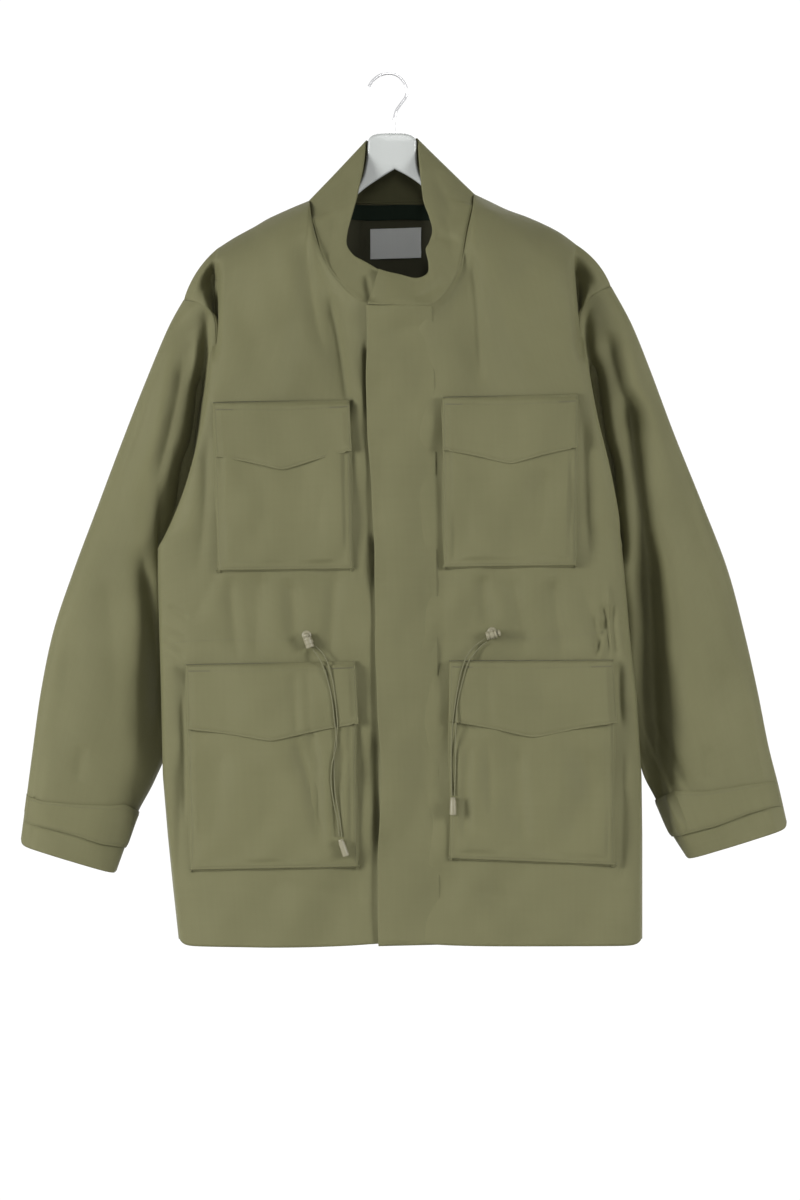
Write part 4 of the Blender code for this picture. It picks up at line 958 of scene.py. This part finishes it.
BAG_STITCH, BAG_STITCH_ROW = 12, 53          # grid lines of the bag and the flap that are stitched
FLAP_STITCH, FLAP_STITCH_ROW = 3, 28
TACK_END = 13                                # grid line where the bar in a flap's corner ends
SEWN, TACKS = {}, {}
for name, corners in POCKETS.items():
    level, side = name.split("_")
    top_left, top_right, bottom_right, bottom_left, _, low_right, _ = corners
    low_x, high_x = min(top_left[0], bottom_left[0]), max(top_right[0], bottom_right[0], low_right[0])
    lie = Lie([f"front_{side}_cloth"], low_x, high_x, bottom_left[1], top_left[1])
    place = (corners, high_x - low_x, lie, BAG_CREASES[name], 21 + sum(map(ord, name)))
    bag_cut, flap_cut = POCKET_CUTS[level]

    points = bag(*place)
    cloth(f"{name}_bag", points, (0.19, 0.24), f"{level}_pocket_{side}", bag_cut)
    SEWN[name] = [edge_stitch(points, BAG_STITCH, BAG_STITCH_ROW)]

    points, down = flap(*place)
    cloth(f"{name}_flap_cloth", points, (0.19, 0.09), f"{level}_flap_{side}", flap_cut,
          thickness=FLAP_CLOTH)
    seams = [points[np.argmin(np.abs(down - below))] for below in FLAP_SEAMS]
    SEWN[name] += [edge_stitch(points, FLAP_STITCH, FLAP_STITCH_ROW)]
    SEWN[name] += [seam[FLAP_STITCH:-FLAP_STITCH] for seam in seams]
    TACKS[name] = [seams[0][FLAP_STITCH:TACK_END], seams[0][-TACK_END:-FLAP_STITCH]]

# --------------------------------------------------------------------------------------------- fly
# A doubled strip covers the front closing. It is sewn down at its right, where it runs on smoothly
# into the right front, and its left edge is a free fold that lifts a little here and there.
FLY = (
    # z, free x, sewn x
    (-277.0, -26, 53), (-390, -26, 57), (-410, -25.2, 57), (-454, -22.8, 58), (-510, -20, 58),
    (-583, -15, 59), (-697, -16, 60), (-762, -12, 61), (-835, -8, 62), (-870, -10, 62),
    (-950, -12, 62), (-1041, -12, 62),
)
FLY_EDGE = ((0.9, 2.6), (0.1, 1.6), (0.0, 0.9), (0.3, 0.3), (1.0, 0.0))     # in from the fold, back
FLY_LIFTS = ((-352, 22, 3.0), (-432, 20, 1.0), (-500, 18, 1.2), (-585, 30, 3.2), (-680, 22, 1.0),
             (-810, 44, 4.2), (-905, 26, 3.0), (-1000, 30, 1.2))            # z, reach, height
FLY_CREASES = ((44, -320, 8, -400, -6, 12, 16, 1.5), (42, -470, 46, -640, 0, 9, 12, 1.3),
               (20, -640, 26, -780, 0, 12, 14, 1.0), (44, -780, 50, -900, 0, 10, 12, 1.2))

lie = Lie(["front_left_cloth", "front_right_cloth"], -30, 64, -1045, -281)
heights = np.linspace(FLY[0][0], FLY[-1][0], 300)
fly_z, fly_free, fly_sewn = np.array(FLY).T
free_x = np.interp(-heights, -fly_z, fly_free)
sewn_x = np.interp(-heights, -fly_z, fly_sewn)
free_x = np.convolve(np.pad(free_x, 12, mode="edge"), np.ones(25) / 25, mode="valid")
free_x += 0.5 * np.sin(heights / 29.0) + 0.35 * np.sin(heights / 13.0 + 1)
lines = [(0.0, *fold) for fold in FLY_EDGE] + [(share, 0.0, 0.0) for share in np.linspace(0.03, 1, 34)]
s, inset, behind = np.array(lines).T
x = free_x[:, None] + (sewn_x - free_x)[:, None] * s[None, :] + inset[None, :]
z = np.repeat(heights[:, None], len(s), axis=1)
lift = sum(h * np.exp(-((z - at) / reach) ** 2) for at, reach, h in FLY_LIFTS)
stand = 6.0 * ease(-0.1, 0.75, 1 - s)[None, :] - 2.6
y = lie.at(x, z) - stand - lift * (1 - s[None, :]) ** 2 + behind[None, :]
y += (creases(FLY_CREASES, x, z) + ripple(x, z, 61, 1.2)) * (1 - s[None, :] ** 3) * 0.8
z = z - np.where(z < -1030, 1.5, 0.0) * (1 - s[None, :])
cloth("fly_cloth", np.stack([x, y, z], -1), (0.085, 0.76), "fly", (0.085, 0.760),
      thickness=0.8)

# --------------------------------------------------------------------------------------- cuff tabs
# Each cuff has a doubled tab sewn in at its inner side. It lies round the front of the cuff and
# closes on a patch of hook tape, which shows at the left one's end.
CUFF_TABS = {
    # first and last turn, top line and lower line across the front (x, z)
    "cuff_tab_left": (0.05, 1.42, ((-441, -862), (-429.6, -865), (-411.6, -871), (-369.6, -874.8),
                                   (-332, -876), (-301, -873.6)),
                      ((-436, -896), (-415, -901), (-391, -907), (-369.6, -913), (-342, -923),
                       (-321.6, -926), (-304, -928))),
    "cuff_tab_right": (0.05, 1.42, ((339.6, -859), (379, -859), (412.8, -854), (466.8, -846), (480, -844)),
                       ((338, -914), (355, -911), (392, -901), (427.8, -887), (458, -878), (476, -876))),
    "cuff_patch_left": (-0.10, 0.16, ((-450, -864), (-404, -866)), ((-450, -886), (-404, -888))),
}


CUT_TAB, CUT_PATCH = (0.185, 0.050), (0.032, 0.024)


def share_at(side, a, line):
    """How far down the sleeve each turn round it meets a line drawn across the front view."""
    shares = np.linspace(0.80, 1.0, 80)
    A, SHARE = np.meshgrid(a, shares)
    spots = sleeve(side, SHARE, A)
    met = []
    for k in range(len(a)):
        over = spots[:, k, 2] - np.interp(spots[:, k, 0], [p[0] for p in line], [p[1] for p in line])
        met.append(np.interp(0.0, -over, shares))
    return np.array(met)


for name, (first, last, top, low) in CUFF_TABS.items():
    side = name.split("_")[-1]
    patch = "patch" in name
    a = np.linspace(first, last, 20 if patch else 90)
    on_front = np.clip(a, 0.03, 0.97)
    high = share_at(side, on_front, top)
    foot = share_at(side, on_front, low)
    rows = np.concatenate([[0, 0.02, 0.06], np.linspace(0.1, 0.9, 12), [0.94, 0.98, 1.0]])
    SHARE = high + (foot - high) * rows[:, None]
    A = np.repeat(a[None, :], len(rows), axis=0)
    spot = sleeve(side, SHARE, A)
    down = sleeve(side, SHARE + 0.004, A) - spot
    turn = sleeve(side, SHARE, A + 0.01) - spot
    out = np.cross(turn, down) * (-1 if side == "left" else 1)
    out /= np.linalg.norm(out, axis=-1, keepdims=True)
    end = ease(-0.01, 0.03, (A - first)) if not patch else 1.0
    edge = np.minimum(rows, 1 - rows)[:, None]
    rise = (0.9 if patch else 2.6) + (0.0 if patch else 1.0) * ease(0.0, 0.1, edge) * end
    points = spot + out * rise[..., None]
    cloth(f"{name}_cloth", points, (0.16, 0.05), name, CUT_PATCH if patch else CUT_TAB,
          thickness=1.0 if patch else FLAP_CLOTH, turned=side == "right")
    if not patch:
        SEWN[name] = [np.concatenate([points[3, ::-1], points[3:-3, 3], points[-3]])]

# --------------------------------------------------------------------------- neck facing and label
# Inside the neck a darker cloth faces the back, with a strip of green tape over the collar seam whose
# near-black colour is partly painted shadow from the collar, and a blank woven label sewn on below it.
FACING = woven("neck_facing_cloth", (0.066, 0.064, 0.037), (0.050, 0.049, 0.028), 0.72)
# painted shade: the tape's near-black green is partly its own colour and partly the collar's shadow painted
# in
TAPE_AND_SHADE = woven("neck_tape_and_shade_weave", (0.012, 0.022, 0.013), (0.007, 0.013, 0.008), 0.85, thread=0.0012)
LABEL = woven("label_weave", (0.92, 0.94, 0.92), (0.84, 0.86, 0.84), 0.55, slub=0.3)


def inside_neck(x, z, clear):
    """A depth inside the back of the neck, clear of the back panel."""
    back_x, back_y = [row[0] for row in NECK_BACK], [row[2] for row in NECK_BACK]
    return np.interp(x, back_x, back_y) - CLOTH - clear + (z + 150) * 0.02


NECK_PIECES = (
    # name, node, slot, finish, left x, right x, top z, foot z, before the back, thickness, tilt
    ("neck_facing", "neck_lining", "dark_lining", FACING, -60, 68, -153, -266, 3.0, 1.2, 0.0),
    ("neck_tape_strip", "neck_tape", "green_tape", TAPE_AND_SHADE, -52, 62, -154, -172, 4.8, 0.8, 0.0),
    ("neck_label_cloth", "neck_label", "woven_label", LABEL, -21.4, 39.8, -182, -218.5, 5.4, 0.7, 1.92),
)
FACING_PLEAT = (-27, 1.6, 1.2)               # x, half width, height of the pressed edge in the facing
for name, node, slot, finish, x0, x1, top, foot, clear, thick, tilt in NECK_PIECES:
    X, Z = np.meshgrid(np.linspace(x0, x1, 60), np.linspace(top, foot, 40))
    lean = (X - x0) / (x1 - x0)
    Z = Z + tilt * (lean - 0.5) + 0.6 * np.sin(X / 11.0) * (node == "neck_tape")
    Y = inside_neck(X, Z, clear) + ripple(X, Z, 90 + len(name), 0.9)
    if node == "neck_lining":
        pleat_x, half, raised = FACING_PLEAT
        Y = Y - raised * np.exp(-((X - pleat_x) / half) ** 2) * ease(0.0, 20.0, -Z - 180)
    wide, high = x1 - x0, (top - foot) * MM
    cloth(name, np.stack([X, Y, Z], -1), (wide * MM, high), node, (wide * 1.04 * MM, high),
          thickness=thick, finish=finish)

# ------------------------------------------------------------------------------- the waist cords
# A fine cord comes out of an eyelet at each side of the waist, doubled, through a spring lock, and
# hangs down over the hip pocket to a moulded end that grips both strands.
CORD_DIAMETER = 1.6
CORD_LIFT = 0.4
KHAKI = moulded("khaki_moulding", (0.235, 0.218, 0.142), 0.42, 900.0)
CORD_ROUTES = {
    "cord_left_a": ((-87, -685, 3.4), (-77, -694, 2.4), (-70, -710, 1), (-65, -730, 0),
                    (-62, -755, 0), (-60, -778, 0), (-62, -795, 0), (-64, -812, 0),
                    (-64, -835, 0), (-63, -858, 0), (-60, -876, 0), (-57, -893, 0),
                    (-55, -912, 1)),
    "cord_left_b": ((-89.5, -689, 3.4), (-82, -699, 2.4), (-76, -712, 1), (-70.5, -730, 0),
                    (-66, -752, 0), (-64, -772, 0.5), (-62, -786, 1.2), (-61, -801, 1.4),
                    (-64, -815, 1.4), (-67, -829, 0.8), (-67.5, -850, 0), (-64, -874, 0),
                    (-60, -893, 0), (-58, -911, 1)),
    "cord_right_a": ((116, -676, 3.4), (107, -682, 2.4), (98, -691, 1), (91, -704, 0),
                     (84.5, -728, 0), (78.5, -765, 0), (76.5, -790, 1.2), (75.5, -812, 0),
                     (75.5, -835, 0), (76, -863, 1)),
    "cord_right_b": ((117.5, -680, 3.4), (110, -686, 2.4), (102, -695, 1), (95, -706, 0),
                     (89, -726, 0), (83, -752, 0), (81, -778, 2), (80.5, -803, 0),
                     (80.5, -830, 0), (79.2, -863, 1)),
}


def moulding(name, node, shapes):
    """A khaki moulding of turned shapes: each has its places and radii along its way, and its centre."""
    whole = bmesh.new()
    for sections, centre, way in shapes:
        bm = bmesh.new()
        profile = [bm.verts.new((radius * MM, 0.0, place * MM)) for place, radius in sections]
        edges = [bm.edges.new(pair) for pair in zip(profile, profile[1:])]
        bmesh.ops.spin(bm, geom=profile + edges, cent=(0, 0, 0), axis=(0, 0, 1), angle=math.tau, steps=28,
                       use_merge=True)
        bmesh.ops.remove_doubles(bm, verts=bm.verts, dist=0.000005)
        turn = Vector(way).normalized().to_track_quat("Z", "Y").to_matrix()
        bmesh.ops.rotate(bm, verts=bm.verts, cent=(0, 0, 0), matrix=turn)
        bmesh.ops.translate(bm, verts=bm.verts, vec=Vector(centre) * MM)
        bmesh.ops.recalc_face_normals(bm, faces=bm.faces)
        shape = bpy.data.meshes.new("turned")
        bm.to_mesh(shape)
        bm.free()
        whole.from_mesh(shape)
        bpy.data.meshes.remove(shape)
    hung(name, smooth_mesh(name, whole, sharp=35), KHAKI, node)


def braided():
    """A fine braid, its strands light and dark in turn."""
    finish = Finish("cord_braid")
    twist = finish.node("ShaderNodeTexWave", {"bands_direction": "DIAGONAL"},
                        {"Vector": finish.object_place(), "Scale": 420.0, "Distortion": 2.0})
    finish.feed("Base Color", finish.blend(twist, (0.110, 0.106, 0.052, 1.0), (0.165, 0.160, 0.082, 1.0)))
    finish.feed("Roughness", 0.62 + twist * 0.1)
    finish.bump(twist, 0.0002)
    return finish.material


BRAID = braided()
LOCKS = {
    # eyelet x, z; lock centre x, z; the way its button points away from
    "left": ((-97, -672), (-95, -679), (0.34, 0.0, -0.94)),
    "right": ((124, -668), (125, -671), (-0.97, 0.0, -0.24)),
}
ENDS = {"left": ((-53, -925), (0.33, 0.0, -0.94)), "right": ((77.5, -875.5), (0.0, 0.0, -1.0))}


def front_of(side, x, z, reach=3.0):
    """The foremost of everything that lies on a front near a place."""
    names = (f"front_{side}_cloth", f"hip_{side}_bag", f"hip_{side}_flap_cloth")
    steps = (-reach, 0.0, reach)
    found = [foremost(names, x + step_x, z + step_z) for step_x in steps for step_z in steps]
    return min(y for y in found if y is not None)


RING = ((0.9, 2.3), (1.6, 2.5), (1.9, 3.3), (1.6, 4.6), (0.6, 5.6), (-0.6, 5.7), (-0.6, 2.3), (0.9, 2.3))
BARREL = ((-4.6, 0.0), (-4.6, 4.2), (-4.1, 4.9), (-3.2, 5.1), (-2.2, 5.1), (-1.9, 4.6), (-1.2, 4.6),
          (-0.9, 5.1), (3.4, 5.1), (3.7, 4.6), (4.5, 4.6), (4.8, 5.1), (7.2, 5.1), (8.0, 4.5), (8.2, 3.4),
          (8.2, 0.0))
BUTTON = ((-9.4, 0.0), (-9.4, 2.6), (-9.0, 3.5), (-8.2, 3.9), (-6.4, 3.9), (-6.2, 2.6), (-4.4, 2.6),
          (-4.4, 0.0))
PORT = ((4.4, 1.5), (5.4, 1.5), (5.6, 1.8), (5.4, 2.7), (4.4, 2.7))
GRIP = ((-10.6, 0.0), (-10.6, 2.2), (-10.2, 2.9), (-8.9, 3.3), (-8.6, 3.0), (-8.0, 3.0), (-7.7, 3.5),
        (8.6, 4.1), (9.9, 3.9), (10.5, 3.2), (10.5, 0.0))
for side, (eye, centre, way) in LOCKS.items():
    ring_at = (eye[0], front_of(side, *eye) + 0.3, eye[1])
    moulding(f"eyelet_{side}_ring", f"eyelet_{side}", [(RING, ring_at, (0, -1, 0))])
    middle = (centre[0], front_of(side, *centre) - 6.6, centre[1])
    inward = Vector((way[2], 0.0, -way[0])) * (-1 if side == "left" else 1)
    port_at = Vector(middle) + Vector(way) * 1.2
    moulding(f"cord_lock_{side}_moulding", f"cord_lock_{side}",
             [(BARREL, middle, way), (BUTTON, middle, way), (PORT, port_at, inward)])

for side, (centre, way) in ENDS.items():
    middle = (centre[0], front_of(side, *centre) - 4.6, centre[1])
    moulding(f"cord_end_{side}_moulding", f"cord_end_{side}", [(GRIP, middle, way)])

for name, route in CORD_ROUTES.items():
    side = name.split("_")[1]
    knots = np.array([(x, front_of(side, x, z) - CORD_LIFT - lift, z) for x, z, lift in route])
    deep = np.pad(knots[:, 1], 1, mode="edge")
    knots[:, 1] = np.minimum(knots[:, 1], (deep[:-2] + deep[2:]) / 2 + 0.4)
    smooth = read(knots, np.linspace(0, 1, 8 * len(knots))).T
    strand = along_route(f"{name}_braid", smooth, CORD_DIAMETER, BRAID, name, ring=3)

# --------------------------------------------------------------------------------------- stitching
# The pockets, flaps, tabs and the waist casing are stitched in a thread a shade darker than the
# cloth. Each stitch is a slim bead, half sunk in the cloth, and short bars tack the flaps' corners.
STITCH_EVERY, STITCH_LONG, STITCH_THICK = 3.0, 2.3, 0.6
THREAD = moulded("stitching_thread", (0.105, 0.100, 0.050), 0.55, 1500.0)


def stitched(name, paths, every=STITCH_EVERY, long=STITCH_LONG, thick=STITCH_THICK, crosswise=False):
    """Beads along paths on the cloth, all of one pattern, as one mesh."""
    bm = bmesh.new()
    bmesh.ops.create_uvsphere(bm, u_segments=6, v_segments=4, radius=1.0)
    bm.verts.index_update()
    bead = np.array([vert.co for vert in bm.verts]) * (thick / 2, thick / 2, long / 2)
    sides = [[vert.index for vert in face.verts] for face in bm.faces]
    bm.free()
    spots, faces = [], []
    for path in paths:
        runs = np.concatenate([[0.0], np.cumsum(np.linalg.norm(np.diff(path, axis=0), axis=1))])
        middles = np.arange(every / 2, runs[-1], every)
        at = [np.stack([np.interp(middles + step, runs, path[:, k]) for k in range(3)], -1)
              for step in (-long / 2, long / 2)]
        for start, end in zip(*at):
            way = Vector((0, 0, 1)) if crosswise else Vector(end - start).normalized()
            turn = np.array(way.to_track_quat("Z", "Y").to_matrix())
            faces += [[len(spots) * len(bead) + corner for corner in side] for side in sides]
            spots.append((bead @ turn.T + (start + end) / 2) * MM)
    mesh = bpy.data.meshes.new(name)
    mesh.from_pydata(np.concatenate(spots).tolist(), [], faces)
    mesh.shade_smooth()
    hung(name, mesh, THREAD)


for name, paths in SEWN.items():
    stitched(f"{name}_stitches", paths)
for name, paths in TACKS.items():
    stitched(f"{name}_tacks", paths, every=0.7, long=1.7, thick=0.8, crosswise=True)
CASING = {"left": ((-262, -682), (-236, -679), (-190, -677), (-150, -679), (-112, -678)),
          "right": ((140, -674), (180, -676), (224, -672), (262, -668))}
for side, line in CASING.items():
    fine = np.linspace(line[0][0], line[-1][0], 60)
    level = np.interp(fine, [x for x, _ in line], [z for _, z in line])
    laid = [(x, foremost([f"front_{side}_cloth"], x, z), z) for x, z in zip(fine, level)]
    stitched(f"casing_{side}_stitches", [np.array(laid)])

# ------------------------------------------------------------------------------------------- floor
# A pale round floor lies below the coat.
bm = bmesh.new()
bmesh.ops.create_circle(bm, cap_ends=True, segments=96, radius=1.1,
                        matrix=Matrix.Translation((0.0, 0.0, FLOOR_Z)))
floor = added("floor", smooth_mesh("floor", bm))
pale = Finish("pale_floor")
mottle = pale.noise(pale.object_place(), 3.0)
pale.feed("Base Color", pale.blend(mottle, (0.93, 0.93, 0.93, 1), (0.9, 0.9, 0.9, 1)))
floor.data.materials.append(pale.material)
